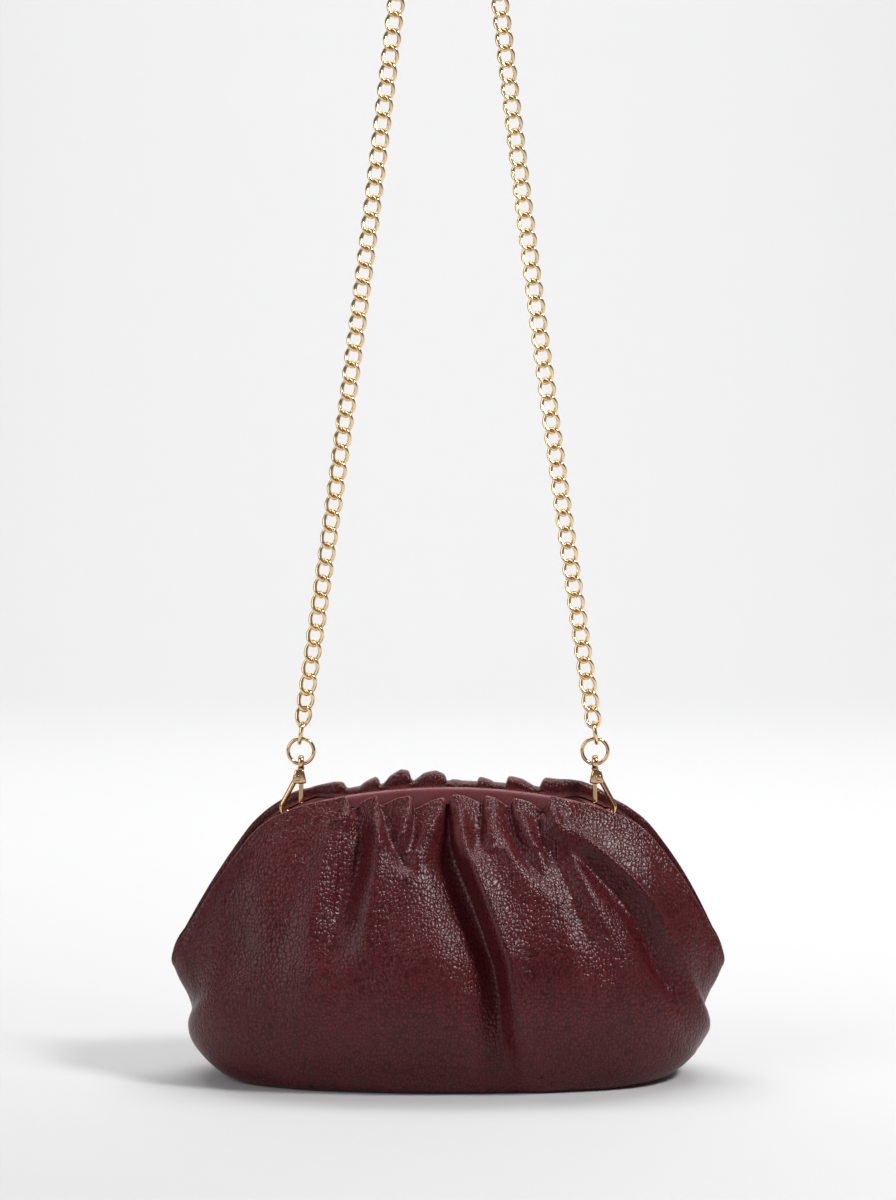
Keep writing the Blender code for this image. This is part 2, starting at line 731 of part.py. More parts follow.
def snap_hook(name, where, parent):
    """The hook body: a head, a slanted shank, and a curl that ends at the gate."""
    centre_up = THROAT_RADIUS - LOOP_WIRE - GAP
    bend = THROAT_RADIUS + HOOK_WIRE
    points = [hook_place(where, HEAD_SHIFT - HEAD_HALF_WIDTH + HOOK_WIRE, HEAD_RISE + HOOK_WIRE)]
    for k in range(HOOK_BEND_STEPS + 1):
        angle = math.radians(160) + math.radians(190) * k / HOOK_BEND_STEPS
        points.append(hook_place(where, bend * math.cos(angle), centre_up + bend * math.sin(angle)))
    points.append(hook_place(where, bend, centre_up + HOOK_WIRE))
    made = add_object(name, mesh_of(name, lambda bm: tube(
        bm, points, Vector((0, 1, 0)), HOOK_HALF_THICKNESS, HOOK_WIRE, 8)), GOLD_LOOK, parent)
    head = (HEAD_SHIFT - HEAD_HALF_WIDTH, HEAD_SHIFT + HEAD_HALF_WIDTH)
    slot = (head[0] + HEAD_WALL, head[1] + CUT_OVERRUN)
    pin = hook_place(where, HEAD_SHIFT - PIN_SHIFT, HEAD_RISE + PIN_RISE)
    slot_top = HEAD_RISE + PIN_RISE + KNUCKLE_RADIUS + GAP
    post_low = HEAD_RISE + HEAD_HEIGHT - POST_DEPTH - GAP
    post = hook_place(where, HEAD_SHIFT + PIN_SHIFT, 0)
    boolean(made, "UNION", lambda bm: hook_box(
        bm, where, head, HEAD_HALF_THICKNESS, (HEAD_RISE, HEAD_RISE + HEAD_HEIGHT)))
    boolean(
        made, "DIFFERENCE",
        lambda bm: hook_box(bm, where, slot, GATE_WEB + GAP, (HEAD_RISE - CUT_OVERRUN, slot_top)),
        lambda bm: cylinder(bm, (pin.x, -CUT_OVERRUN * 2, pin.z), (pin.x, CUT_OVERRUN * 2, pin.z),
                            PIN_RADIUS + GAP),
        lambda bm: cylinder(bm, (post.x, 0, ANCHOR_Z + post_low),
                            (post.x, 0, ANCHOR_Z + HEAD_RISE + HEAD_HEIGHT + CUT_OVERRUN),
                            POST_RADIUS + GAP))
    return made


def hook_gate(name, where, parent):
    """The spring gate: a knuckle round the pin, a web, and a bar that closes the throat."""
    pin = hook_place(where, HEAD_SHIFT - PIN_SHIFT, HEAD_RISE + PIN_RISE)
    middle = THROAT_RADIUS + HOOK_WIRE
    foot = THROAT_RADIUS - LOOP_WIRE - GAP + HOOK_WIRE + NOSE_GAP
    made = add_object(name, mesh_of(name, lambda bm: hook_box(
        bm, where, (middle - GATE_HALF_WIDTH, middle + GATE_HALF_WIDTH), GATE_HALF_WIDTH,
        (foot, HEAD_RISE - GAP))), GOLD_LOOK, parent)
    boolean(
        made, "UNION",
        lambda bm: cylinder(bm, (pin.x, -GATE_WEB, pin.z), (pin.x, GATE_WEB, pin.z),
                            KNUCKLE_RADIUS),
        lambda bm: hook_box(bm, where, (HEAD_SHIFT - PIN_SHIFT, middle + GATE_HALF_WIDTH * 0.9),
                            GATE_WEB, (HEAD_RISE - GAP * 4, HEAD_RISE + PIN_RISE)))
    boolean(made, "DIFFERENCE", lambda bm: cylinder(
        bm, (pin.x, -CUT_OVERRUN, pin.z), (pin.x, CUT_OVERRUN, pin.z), PIN_RADIUS + GAP))
    return made


def gate_pin(name, where, parent):
    """The pin of the gate, with a low head on each side of the hook."""
    pin = hook_place(where, HEAD_SHIFT - PIN_SHIFT, HEAD_RISE + PIN_RISE)
    add_object(name, mesh_of(name, lambda bm: headed_pin(
        bm, pin, Vector((0, 1, 0)), HEAD_HALF_THICKNESS + GAP, PIN_RADIUS, PIN_HEAD_RADIUS,
        PIN_HEAD)), GOLD_LOOK, parent)


def eye_centre(where):
    """The middle of the swivel eye, over its post."""
    place = hook_place(where, HEAD_SHIFT + PIN_SHIFT, 0)
    place.z = ring_bottom_z() + EYE_RADIUS - EYE_WIRE - RING_WIRE - GAP
    return place


def ring_bottom_z():
    """The wire of the O-ring at its lowest place, just over the hook's head."""
    return ANCHOR_Z + HEAD_RISE + HEAD_HEIGHT + GAP + EYE_WIRE * 2 + GAP + RING_WIRE


def swivel_eye(name, where, parent):
    """An eye in the YZ plane that holds the O-ring, on a post that turns in the hook's head."""
    centre = eye_centre(where)
    head_top = ANCHOR_Z + HEAD_RISE + HEAD_HEIGHT
    made = add_object(name, mesh_of(name, lambda bm: tube(
        bm, circle(centre, Vector((0, 1, 0)), Vector((0, 0, 1)), EYE_RADIUS, EYE_STEPS),
        Vector((1, 0, 0)), EYE_WIRE, EYE_WIRE, WIRE_SIDES, True)), GOLD_LOOK, parent)
    boolean(made, "UNION", lambda bm: cylinder(
        bm, (centre.x, 0, head_top - POST_DEPTH), (centre.x, 0, centre.z - EYE_RADIUS),
        POST_RADIUS))


def o_ring(name, where, parent):
    centre = ring_centre(where)
    add_object(name, mesh_of(name, lambda bm: tube(
        bm, circle(centre, Vector((1, 0, 0)), Vector((0, 0, 1)), RING_RADIUS, RING_STEPS),
        Vector((0, 1, 0)), RING_WIRE, RING_WIRE, WIRE_SIDES, True)), GOLD_LOOK, parent)


def ring_centre(where):
    centre = eye_centre(where)
    centre.z = ring_bottom_z() + RING_RADIUS
    return centre


def chain_line():
    """The line of the chain from the left ring over the top to the right ring."""
    start = ring_centre(-1)
    start_z = start.z + RING_RADIUS - RING_WIRE - GAP + LINK_LENGTH / 2 - 2 * LINK_WIRE
    foot_x = -start.x
    spread = foot_x - CHAIN_TOP_X - CHAIN_TOP_LEAN * CHAIN_RISE
    run = []
    for k in range(RUN_STEPS + 1):
        up = CHAIN_RISE * k / RUN_STEPS
        left = CHAIN_RISE - up
        x = CHAIN_TOP_X + CHAIN_TOP_LEAN * left + spread * (left / CHAIN_RISE) ** 2
        run.append(Vector((-x, 0, start_z + up)))
    lean = math.atan(CHAIN_TOP_LEAN)
    radius = CHAIN_TOP_X / math.cos(lean)
    centre = Vector((0, 0, run[-1].z - radius * math.sin(lean)))
    arc = []
    for k in range(1, RUN_STEPS):
        angle = math.pi - lean - (math.pi - 2 * lean) * k / RUN_STEPS
        arc.append(centre + Vector((radius * math.cos(angle), 0, radius * math.sin(angle))))
    mirrored = [Vector((-point.x, 0, point.z)) for point in run[::-1]]
    return run + arc + mirrored


def link(bm, centre, ahead, turn, twist, length, steps=LINK_STEPS, sides=LINK_SIDES):
    """A curb link: an oval of wire, turned about its length and twisted along it.

    The wire has a corner on its inner side, so that neighbours touch corner to corner.
    """
    across = ahead.cross(Vector((0, 1, 0))).normalized()
    flat = ahead.cross(across)
    half_width = LINK_WIDTH / 2 - LINK_WIRE
    half_length = length / 2 - LINK_WIRE
    points = []
    for k in range(steps):
        angle = 2 * math.pi * k / steps
        cos, sin = math.cos(angle), math.sin(angle)
        side_way = math.copysign(abs(cos) ** 0.8, cos) * half_width
        along = math.copysign(abs(sin) ** 0.8, sin) * half_length
        roll = turn + twist * along / length
        points.append(centre + ahead * along
                      + (across * math.cos(roll) + flat * math.sin(roll)) * side_way)
    rings = []
    for point, way in zip(points, directions(points, True)):
        out = (point - centre - ahead * (point - centre).dot(ahead) * 0.5).normalized()
        first = (out - way * out.dot(way)).normalized()
        second = way.cross(first)
        ring = []
        for k in range(sides):
            angle = math.pi + 2 * math.pi * k / sides
            ring.append(point + (first * math.cos(angle) + second * math.sin(angle)) * LINK_WIRE)
        rings.append(ring)
    loft(bm, rings, True)


def chain(parent):
    """Runs of links, fused where they touch, between single end links that hold the O-rings."""
    line = chain_line()
    length = sum((after - before).length for before, after in zip(line, line[1:]))
    count = round(length / LINK_PITCH)
    places = resampled(line, count)
    ways = directions(places)
    low = round(count * CHAIN_RISE / length) + 1
    high = count + 1 - low
    free = GAP + FUSE_LAP

    def build(bm, picks):
        for i in picks:
            before = free if i in (1, low, high) else 0
            after = free if i == count - 1 else 0
            centre = places[i] + ways[i] * (after - before) / 2
            link(bm, centre, ways[i], 0, LINK_TWIST, LINK_LENGTH + before + after)

    for name, first, last in (("chain_left_run", 1, low), ("chain_top_bight", low, high),
                              ("chain_right_run", high, count)):
        made = add_object(name, mesh_of(name, lambda bm: build(bm, range(first, last, 2))),
                          GOLD_LOOK, parent, 60)
        boolean(made, "UNION", lambda bm: build(bm, range(first + 1, last, 2)))
    for name, i in (("chain_end_link_left", 0), ("chain_end_link_right", count)):
        add_object(name, mesh_of(name, lambda bm: link(
            bm, places[i], ways[i], math.pi / 2, 0, LINK_LENGTH)), GOLD_LOOK, parent, 60)


def main():
    clear_scene()
    front = add_pivot("front_frame_pivot", (0, 0, HINGE_Z))
    hooks = add_pivot("strap_hook_pivot", (0, 0, ANCHOR_Z))
    strap = add_pivot("strap_chain_pivot", (0, 0, ring_bottom_z()), hooks)
    leather("front_leather", -1)
    leather("back_leather", 1)
    inset = LEATHER + GAP + LINING_SLACK
    add_sheet("front_lining", lining_grid(-1, inset), -1, LINING, LINING_LOOK)
    add_sheet("back_lining", lining_grid(1, inset), 1, LINING, LINING_LOOK)
    add_sheet("slip_pocket", pocket_grid(inset + LINING + GAP * 2), 1, POCKET_SHEET, LINING_LOOK)
    base_board()
    bar("front_frame_bar", -1, front)
    bar("back_frame_bar", 1, None)
    cover("front_frame_cover", -1, front)
    cover("back_frame_cover", 1, None)
    for label, where in (("left", -1), ("right", 1)):
        hinge_rivet(f"hinge_rivet_{label}", where)
        magnet(f"front_magnet_{label}", -1, where, front)
        magnet(f"back_magnet_{label}", 1, where, None)
        strap_loop(f"strap_loop_{label}", where)
        snap_hook(f"snap_hook_{label}", where, hooks)
        gate_pin(f"gate_pin_{label}", where, hooks)
        pin = hook_place(where, HEAD_SHIFT - PIN_SHIFT, HEAD_RISE + PIN_RISE)
        gate = add_pivot(f"gate_pivot_{label}", pin, hooks)
        hook_gate(f"hook_gate_{label}", where, gate)
        swivel_eye(f"swivel_eye_{label}", where, hooks)
        o_ring(f"o_ring_{label}", where, strap)
    chain(strap)


main()
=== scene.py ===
import math

import bmesh
import bpy
import numpy as np
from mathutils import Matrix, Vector, noise


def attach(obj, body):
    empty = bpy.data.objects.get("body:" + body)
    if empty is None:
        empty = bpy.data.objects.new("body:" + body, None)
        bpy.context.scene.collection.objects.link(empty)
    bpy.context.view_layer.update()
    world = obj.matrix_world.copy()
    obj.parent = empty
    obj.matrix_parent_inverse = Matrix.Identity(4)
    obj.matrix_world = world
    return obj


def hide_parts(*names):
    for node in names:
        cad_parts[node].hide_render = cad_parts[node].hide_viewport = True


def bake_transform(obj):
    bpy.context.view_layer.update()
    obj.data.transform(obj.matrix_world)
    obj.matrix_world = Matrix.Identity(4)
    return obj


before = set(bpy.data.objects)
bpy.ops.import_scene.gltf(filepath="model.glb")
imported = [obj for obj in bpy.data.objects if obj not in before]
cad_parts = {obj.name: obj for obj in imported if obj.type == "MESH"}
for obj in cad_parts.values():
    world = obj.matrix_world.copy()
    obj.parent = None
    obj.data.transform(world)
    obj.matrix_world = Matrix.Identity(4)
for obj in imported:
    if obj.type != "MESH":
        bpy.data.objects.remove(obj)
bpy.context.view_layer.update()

# All sizes are in metres where no other unit is named.

# The frame's line from hinge to hinge, its bars, and the leather covers over them
GAP = 0.0003
HINGE_X, HINGE_Z = 0.1265, 0.057
CORNER_X, CORNER_Z = 0.082, 0.129
FRAME_TOP_Z = 0.1398
CORNER_REACH = 0.022
BAR_THICKNESS, BAR_HEIGHT = 0.002, 0.007
BOW_CENTRE, BOW_CORNER, BOW_TIP = 0.0033, 0.0066, 0.002
BOW_CORNER_SHARE = 0.55
COVER_WALL, COVER_HEIGHT = 0.0016, 0.014
COVER_DEPTH = 2 * COVER_WALL + BAR_THICKNESS + 2 * GAP
COVER_TOP = BAR_HEIGHT / 2 + GAP + COVER_WALL
COVER_STEPS, COVER_END_STEPS = 160, 9

# The leather and the lining. Its upper line runs outside the frame's line by these laps and rises.
LEATHER, LINING = 0.0016, 0.0008
LINING_SLACK = 0.0055
SEAM_GAP = 0.0008
EDGE_RISE, RUFFLE_RISE = 0.0017, 0.0040
SHOULDER_LAP, SHOULDER_RISE = 0.0035, 0.0075
TIP_LAP, TIP_RISE = 0.010, 0.0060
TIP_SWELL, TIP_BEND, TIP_TUCK, TIP_DROP = 0.0030, 0.010, 0.0025, 0.008
SLOPE_START, SLOPE_SWELLS, SLOPE_WAY = 0.080, (0.0025, 0.0050), (0.85, 0.53)
BELLY_DEPTH, PLAN_POWERS = 0.059, (0.86, 0.72)
PLEAT_STACK, PLEATED_X, PLEAT_FADE = 0.0035, 0.049, 0.010
PANEL_RISE, PANEL_START, PANEL_FADE = 0.0022, 0.004, 0.022
DENTS, DENT_DEPTH = ((18, 1.0), (42, 0.55), (95, 0.22)), 0.0011
INSIDE_SOFTENING, LINING_SOFTENING = 1.3, 1.5
LINING_START = 0.12

# The wire loops and the hooks that they hold
ANCHOR_X, ANCHOR_Z = 0.0778, 0.1323
LOOP_WIRE, LOOP_HEIGHT, LOOP_REACH = 0.001, 0.0098, 0.0041
PLATE_WIDTH, PLATE_HEIGHT, PLATE_THICKNESS = 0.008, 0.0112, 0.0012
HOOK_WIRE, HOOK_HALF_THICKNESS = 0.0013, 0.0015
THROAT_RADIUS, NOSE_GAP = 0.0035, 0.0009
HEAD_HALF_WIDTH, HEAD_HEIGHT, HEAD_HALF_THICKNESS = 0.0035, 0.0062, 0.0019
HEAD_RISE, HEAD_SHIFT = 0.0145, 0.0039
PIN_SHIFT, PIN_RISE, PIN_RADIUS, PIN_HEAD = 0.0009, 0.00248, 0.0016, 0.0006
EYE_RADIUS, EYE_WIRE, COLLAR_RADIUS = 0.0028, 0.0008, 0.0017

# The O-rings and the chain
RING_RADIUS, RING_WIRE = 0.00635, 0.0009
LINK_WIRE, LINK_WIDTH, LINK_PITCH = 0.00095, 0.0089, 0.0082
LINK_LAP, END_LINK_SLACK = 0.0001, 0.0004
LINK_TWIST, END_LINK_TURN = math.radians(-80), math.radians(25)
CHAIN_RISE, CHAIN_TOP_X, CHAIN_TOP_LEAN = 0.371, 0.024, 0.113

# Mesh counts
COLUMNS, ROWS = 444, 180
INNER_STEP = 3
LINING_COLUMNS, LINING_ROWS = 120, 66
FINE = 2000
SOLID_SIDES, WIRE_SIDES, EYE_SIDES, LOOP_SIDES = 32, 20, 16, 18
EYE_STEPS, RING_STEPS, CHAIN_STEPS = 48, 96, 61
LINK_SIDES, LINK_STEPS = 12, 36

# The studio: each light's name, place, target, width, height and power, and what the camera sees
LIGHTS = (
    ("key", (1.05, -0.58, 1.38), (0, 0, 0.08), 0.34, 0.34, 21),
    ("fill", (-1.8, -1.3, 1.1), (0, 0, 0.1), 1.7, 1.7, 20),
    ("top", (0.0, 0.5, 1.9), (0, 0, 0), 1.8, 1.0, 17),
    ("backdrop_light", (0, 0.9, 2.6), (0, 3.0, 1.2), 3.0, 1.5, 90),
)
WORLD_LIGHT = 0.16
CAMERA_PLACE, CAMERA_TARGET = (0, -1.58, 0.35), (0, 0, 0.2377)
VIEW_HEIGHT, VIEW_DISTANCE = 0.6, 1.6

# Rows of the shell: drop, width, hold of the rim, swell of the belly, and roundness in plan
ROW_SHARES = (
    (0.00, 1.000, 1.00, 0.00, 0.0),
    (0.05, 0.990, 0.90, 0.12, 0.1),
    (0.14, 0.975, 0.70, 0.35, 0.3),
    (0.28, 0.945, 0.50, 0.60, 0.5),
    (0.42, 0.930, 0.30, 0.80, 0.7),
    (0.56, 0.945, 0.10, 0.95, 0.9),
    (0.70, 0.930, 0.00, 1.00, 1.0),
    (0.84, 0.885, 0.00, 0.94, 1.0),
    (0.95, 0.825, 0.00, 0.84, 1.0),
    (1.00, 0.760, 0.00, 0.73, 1.0),
    (1.00, 0.755, 0.00, 0.36, 1.0),
    (1.00, 0.750, 0.00, 0.00, 1.0),
)

# Fold lines: how deep each one is in mm, and its places as photo pixels from the middle line, the
# share of the way down, the share of the depth, and the widths of its left and right flanks in mm
FRONT_FOLDS = (
    (9.5, ((-95, 0.00, 0.42, 1.0, 8), (-91, 0.05, 0.55, 1.6, 6), (-88, 0.10, 0.9, 7, 5),
           (-88, 0.17, 1.0, 12, 5), (-94, 0.25, 1.0, 13, 6), (-104, 0.34, 0.85, 13, 8),
           (-112, 0.45, 0.5, 13, 10), (-118, 0.56, 0.0, 13, 12))),
    (5.0, ((-67, 0.00, 0.75, 1.0, 9), (-63, 0.05, 0.9, 1.4, 7), (-58, 0.11, 1.0, 2.5, 5),
           (-48, 0.18, 0.8, 5, 4), (-36, 0.25, 0.0, 7, 5))),
    (5.0, ((-33.5, 0.00, 0.75, 1.0, 9), (-33.5, 0.05, 0.9, 1.4, 7), (-34, 0.11, 1.0, 3, 4),
           (-37, 0.16, 0.7, 4, 4), (-39, 0.23, 0.0, 5, 5))),
    (15.0, ((0, 0.00, 0.30, 1.2, 1.2), (0, 0.05, 0.45, 2.5, 2), (2, 0.12, 0.8, 9, 2.4),
            (10, 0.20, 1.0, 15, 2.4), (21, 0.29, 1.0, 17, 2.4), (33, 0.39, 1.0, 16, 2.4),
            (45, 0.52, 0.95, 14, 2.7), (51, 0.66, 0.8, 13, 3.2), (52, 0.79, 0.55, 12, 4.5),
            (58, 0.93, 0.25, 11, 7), (62, 1.00, 0.0, 11, 9))),
    (4.5, ((34, 0.00, 0.75, 7, 1.0), (33, 0.05, 0.9, 6, 1.4), (30, 0.11, 1.0, 5, 2.5),
           (26, 0.17, 0.5, 4, 4), (22, 0.22, 0.0, 4, 5))),
    (5.5, ((61, 0.00, 0.7, 7, 1.0), (63, 0.05, 0.85, 6, 1.4), (66, 0.11, 1.0, 5, 3),
           (74, 0.17, 0.9, 4, 5), (88, 0.24, 0.4, 5, 7), (104, 0.31, 0.0, 6, 8))),
    (5.5, ((97, 0.00, 0.7, 8, 1.0), (90, 0.05, 0.95, 7, 1.6), (94, 0.11, 1.0, 7, 4),
           (106, 0.19, 0.9, 7, 6), (118, 0.29, 0.7, 7, 6), (130, 0.40, 0.5, 8, 7),
           (142, 0.49, 0.3, 9, 8), (154, 0.60, 0.0, 10, 10))),
    (7.5, ((100, 0.09, 0.0, 9, 7), (113, 0.13, 0.5, 11, 8), (138, 0.19, 0.9, 12, 10),
           (163, 0.25, 1.0, 13, 11), (186, 0.33, 1.0, 13, 11), (206, 0.42, 1.0, 12, 10),
           (219, 0.51, 0.9, 12, 10), (231, 0.64, 0.5, 12, 10), (238, 0.80, 0.0, 12, 10))),
    (3.8, ((-128, 0.05, 0.0, 12, 5), (-136, 0.13, 0.7, 14, 6), (-146, 0.24, 1.0, 15, 7),
           (-156, 0.36, 0.9, 16, 8), (-165, 0.48, 0.75, 16, 10), (-172, 0.62, 0.6, 16, 12),
           (-168, 0.80, 0.0, 16, 12))),
)
BACK_FOLDS = (
    (6.0, ((-100, 0.00, 0.6, 1.0, 8), (-103, 0.06, 0.8, 2, 7), (-110, 0.16, 1.0, 6, 6),
           (-124, 0.30, 0.7, 9, 8), (-136, 0.46, 0.0, 10, 10))),
    (5.0, ((-66, 0.00, 0.7, 1.0, 8), (-67, 0.06, 0.9, 2, 7), (-70, 0.14, 1.0, 4, 5),
           (-76, 0.26, 0.0, 6, 7))),
    (9.5, ((-36, 0.00, 0.35, 1.0, 8), (-36, 0.06, 0.5, 3, 7), (-40, 0.14, 0.8, 8, 4),
           (-48, 0.25, 1.0, 12, 4.5), (-58, 0.42, 1.0, 12, 5), (-62, 0.60, 0.7, 12, 6),
           (-66, 0.80, 0.0, 12, 8))),
    (4.5, ((0, 0.00, 0.6, 1.0, 1.0), (0, 0.06, 0.8, 2, 2), (0, 0.14, 0.9, 4, 4),
           (4, 0.24, 0.0, 6, 6))),
    (8.5, ((28, 0.00, 0.4, 7, 1.0), (31, 0.06, 0.6, 7, 3), (38, 0.14, 0.9, 5, 8),
           (52, 0.26, 1.0, 5, 12), (66, 0.42, 0.9, 6, 12), (78, 0.58, 0.5, 8, 12),
           (86, 0.74, 0.0, 9, 12))),
    (5.0, ((57, 0.00, 0.7, 7, 1.0), (61, 0.06, 0.9, 6, 2), (70, 0.14, 0.9, 5, 5),
           (84, 0.25, 0.0, 6, 7))),
    (6.5, ((93, 0.00, 0.5, 8, 1.0), (97, 0.06, 0.8, 7, 3), (108, 0.16, 1.0, 6, 8),
           (128, 0.32, 0.8, 8, 10), (148, 0.50, 0.0, 10, 12))),
)
METRES_PER_PIXEL = 0.0005

# Scallops of the upper edges: photo pixels from the middle line, and the rise in mm
FRONT_FLAPS = ((-140, 0), (-118, -0.4), (-100.5, 0), (-98.5, -1.6), (-84, 1.4), (-70, 2.4),
               (-66.5, 0.2), (-50, 1.4), (-36, 1.2), (-33, -2.2), (-14, -0.2), (-1, 0.3), (1, 1.6),
               (18, 1.2), (33, 0.2), (35, 1.4), (46, 1.2), (60, -0.6), (63, 0.5), (80, 0),
               (96, -2.2), (99, 0.6), (120, -0.8), (140, 0))
BACK_FLAPS = ((-150, 0), (-135, -0.6), (-112, 1.8), (-104, 1.2), (-100, -0.8), (-98.5, -2.8),
              (-84, 1.0), (-72, 2.6), (-67, 1.2), (-58, 5.0), (-47, 6.4), (-37, 4.8), (-34, 3.2),
              (-24, 5.2), (-12, 5.0), (-3, 2.8), (0, 1.6), (1.5, 0.4), (14, 0.8), (27, 0.0),
              (29.5, 1.8), (42, 1.4), (55, 0.0), (58.5, 2.6), (74, 2.2), (91, 0.2), (94.5, 3.0),
              (120, 3.0), (142, 1.6), (158, 0))
FLAP_FADE = 0.06

# The back edge's wrap over its cover, in mm: distance from the middle line, where it ends from the
# cover's front face, how far it lifts over the rim, and its end's height over the frame line
WRAPS = ((0, -1.6, 3.2, 3.6), (56, -1.6, 3.6, 3.6), (66, 1.5, 4.6, 5.9), (76, 1.5, 4.4, 5.9),
         (84, 3.2, 3.0, 6.2), (92, 4.6, 2.2, 6.6), (118, 5.6, 1.5, 8.0), (139, 6.8, 0.4, 9.0))
WRAP_ROWS, WRAP_WALL, WRAP_SQUARE = 18, 0.0012, 0.6


def resampled(points, count):
    """count + 1 points at even distances along a line, as an array."""
    points = np.asarray(points, float)
    steps = np.concatenate([[0], np.cumsum(np.linalg.norm(np.diff(points, axis=0), axis=1))])
    wanted = np.linspace(0, steps[-1], count + 1)
    return np.stack([np.interp(wanted, steps, points[:, k]) for k in range(points.shape[1])], 1)


def read_at(share, line):
    """The points of a line in XZ at places from -1 to 1 along its list of points."""
    even = np.linspace(-1, 1, len(line))
    return np.stack([np.interp(share, even, line[:, k]) for k in (0, 1)], 1)


def arch(tip_x, tip_z, corner_x, corner_z, top_z, count):
    """An outline in XZ from the left tip over the top to the right one."""
    tip, corner = np.array([tip_x, tip_z]), np.array([corner_x, corner_z])
    slope_end = corner + (tip - corner) / np.linalg.norm(tip - corner) * CORNER_REACH
    flat_x = corner_x - CORNER_REACH
    flat_end = np.array([flat_x, top_z - (top_z - corner_z) * (flat_x / corner_x) ** 2])
    t = np.linspace(0, 1, 25)[:, None]
    bend = slope_end * (1 - t) ** 2 + corner * 2 * t * (1 - t) + flat_end * t ** 2
    x = np.linspace(flat_x, 0, 25)[1:]
    top = np.stack([x, top_z - (top_z - corner_z) * (x / corner_x) ** 2], 1)
    half = np.concatenate([tip[None], bend, top])
    left = half * np.array([-1, 1])
    return resampled(np.concatenate([left, half[-2::-1]]), count)


def frame_line(count):
    """The frame's line in XZ, as count + 1 points from the left hinge to the right one."""
    return arch(HINGE_X, HINGE_Z, CORNER_X, CORNER_Z, FRAME_TOP_Z, count)


def upright(line):
    """The directions in XYZ that stand square on a line in XZ, one for each point."""
    ahead = np.gradient(line, axis=0)
    ahead /= np.linalg.norm(ahead, axis=1, keepdims=True)
    return np.stack([-ahead[:, 1], np.zeros(len(line)), ahead[:, 0]], 1)


def round_tips(edge, count):
    """The leather's upper line with its two tips bent down into the side seams."""
    tip = edge[-1] + [TIP_SWELL, 0]
    slope = edge[-1] - edge[-count // 8]
    start = edge[-1] - slope / np.linalg.norm(slope) * TIP_BEND
    end = tip - [TIP_TUCK, TIP_DROP]
    kept = edge[edge[:, 0] < start[0]]
    kept = kept[kept[:, 0] > 0]
    t = np.linspace(0, 1, 40)[1:, None]
    bend = start * (1 - t) ** 2 + tip * 2 * t * (1 - t) + end * t ** 2
    half = np.concatenate([[edge[count // 2]], kept, bend])
    return resampled(np.concatenate([half[:0:-1] * [-1, 1], half]), count)


def bow(share):
    """Half the space between the two covers at places from -1 to 1 along the frame."""
    x = np.abs(share)
    inside = BOW_CENTRE + (BOW_CORNER - BOW_CENTRE) * np.sin(
        np.minimum(x / BOW_CORNER_SHARE, 1) * np.pi / 2) ** 2
    run = np.clip((x - BOW_CORNER_SHARE) / (1 - BOW_CORNER_SHARE), 0, 1)
    outside = BOW_CORNER + (BOW_TIP - BOW_CORNER) * np.sin(run * np.pi / 2) ** 2
    return np.where(x < BOW_CORNER_SHARE, inside, outside)


def opened(share):
    """How far a half has left the seam plane, from 0 at its tips to 1 a short way from them."""
    return np.minimum(1, np.sqrt(12 * np.maximum(0, 1 - np.abs(share))))


def smooth_rows(count):
    """The row shares read at even steps of the way down, on a curve through them."""
    shares = np.array(ROW_SHARES)
    last = len(shares) - 1
    found = []
    for k in range(count + 1):
        place = k / count * last
        i = min(int(place), last - 1)
        t = place - i
        a, b = shares[max(i - 1, 0)], shares[i]
        c, d = shares[i + 1], shares[min(i + 2, last)]
        found.append(0.5 * (2 * b + (c - a) * t + (2 * a - 5 * b + 4 * c - d) * t ** 2
                            + (3 * b - a - 3 * c + d) * t ** 3))
    found = np.array(found)
    found[:, 0] = np.clip(found[:, 0], 0, 1)
    return found


def spread(count):
    """count + 1 places from -1 to 1, closer together around the pleats in the middle."""
    even = np.linspace(-1, 1, count + 1)
    return even * (0.5 + 0.5 * even ** 2)


def shell(side, columns, rows):
    """The smooth shell as an array (rows, columns, 3), with the drop of each row. side is -1 in
    front and 1 behind."""
    share = spread(columns)
    rise = EDGE_RISE if side < 0 else RUFFLE_RISE
    edge = round_tips(arch(HINGE_X + TIP_LAP, HINGE_Z + TIP_RISE, CORNER_X + SHOULDER_LAP,
                           CORNER_Z + SHOULDER_RISE, FRAME_TOP_Z + rise, FINE), FINE)
    along = np.clip((np.abs(edge[:, 0]) - SLOPE_START) / (edge[-1, 0] - SLOPE_START), 0, 1)
    bulge = np.where(edge[:, 0] < 0, *SLOPE_SWELLS) * np.sin(np.pi * along)
    edge += bulge[:, None] * np.stack([np.sign(edge[:, 0]), np.ones(FINE + 1)], 1) * SLOPE_WAY
    edge = read_at(share, edge)
    angle = share * np.pi / 2
    width_power, depth_power = PLAN_POWERS
    plan_x = np.sign(share) * np.abs(np.sin(angle)) ** width_power * edge[-1, 0]
    plan_y = np.maximum(np.cos(angle), 0) ** depth_power
    rim = (bow(share) + COVER_DEPTH + GAP + LEATHER) * opened(share)
    beyond = np.abs(edge[:, 0]) - PLEATED_X
    inside = np.clip(0.5 - beyond / PLEAT_FADE, 0, 1)
    if side < 0:
        panel = (np.clip(beyond / PANEL_START + 0.5, 0, 1)
                 * np.clip(1 - beyond / PANEL_FADE, 0, 1))
        edge[:, 1] += PANEL_RISE * panel
    grid = []
    drops = []
    for drop, width, hold, swell, roundness in smooth_rows(rows):
        x = (edge[:, 0] + (plan_x - edge[:, 0]) * roundness) * width
        y = rim * hold + BELLY_DEPTH * swell * plan_y
        y += PLEAT_STACK * inside * np.clip((0.35 - drop) / 0.25, 0, 1)
        z = edge[:, 1] * (1 - drop)
        grid.append(np.stack([x, side * (y + SEAM_GAP / 2), z], 1))
        drops.append(drop)
    return np.array(grid), np.array(drops)


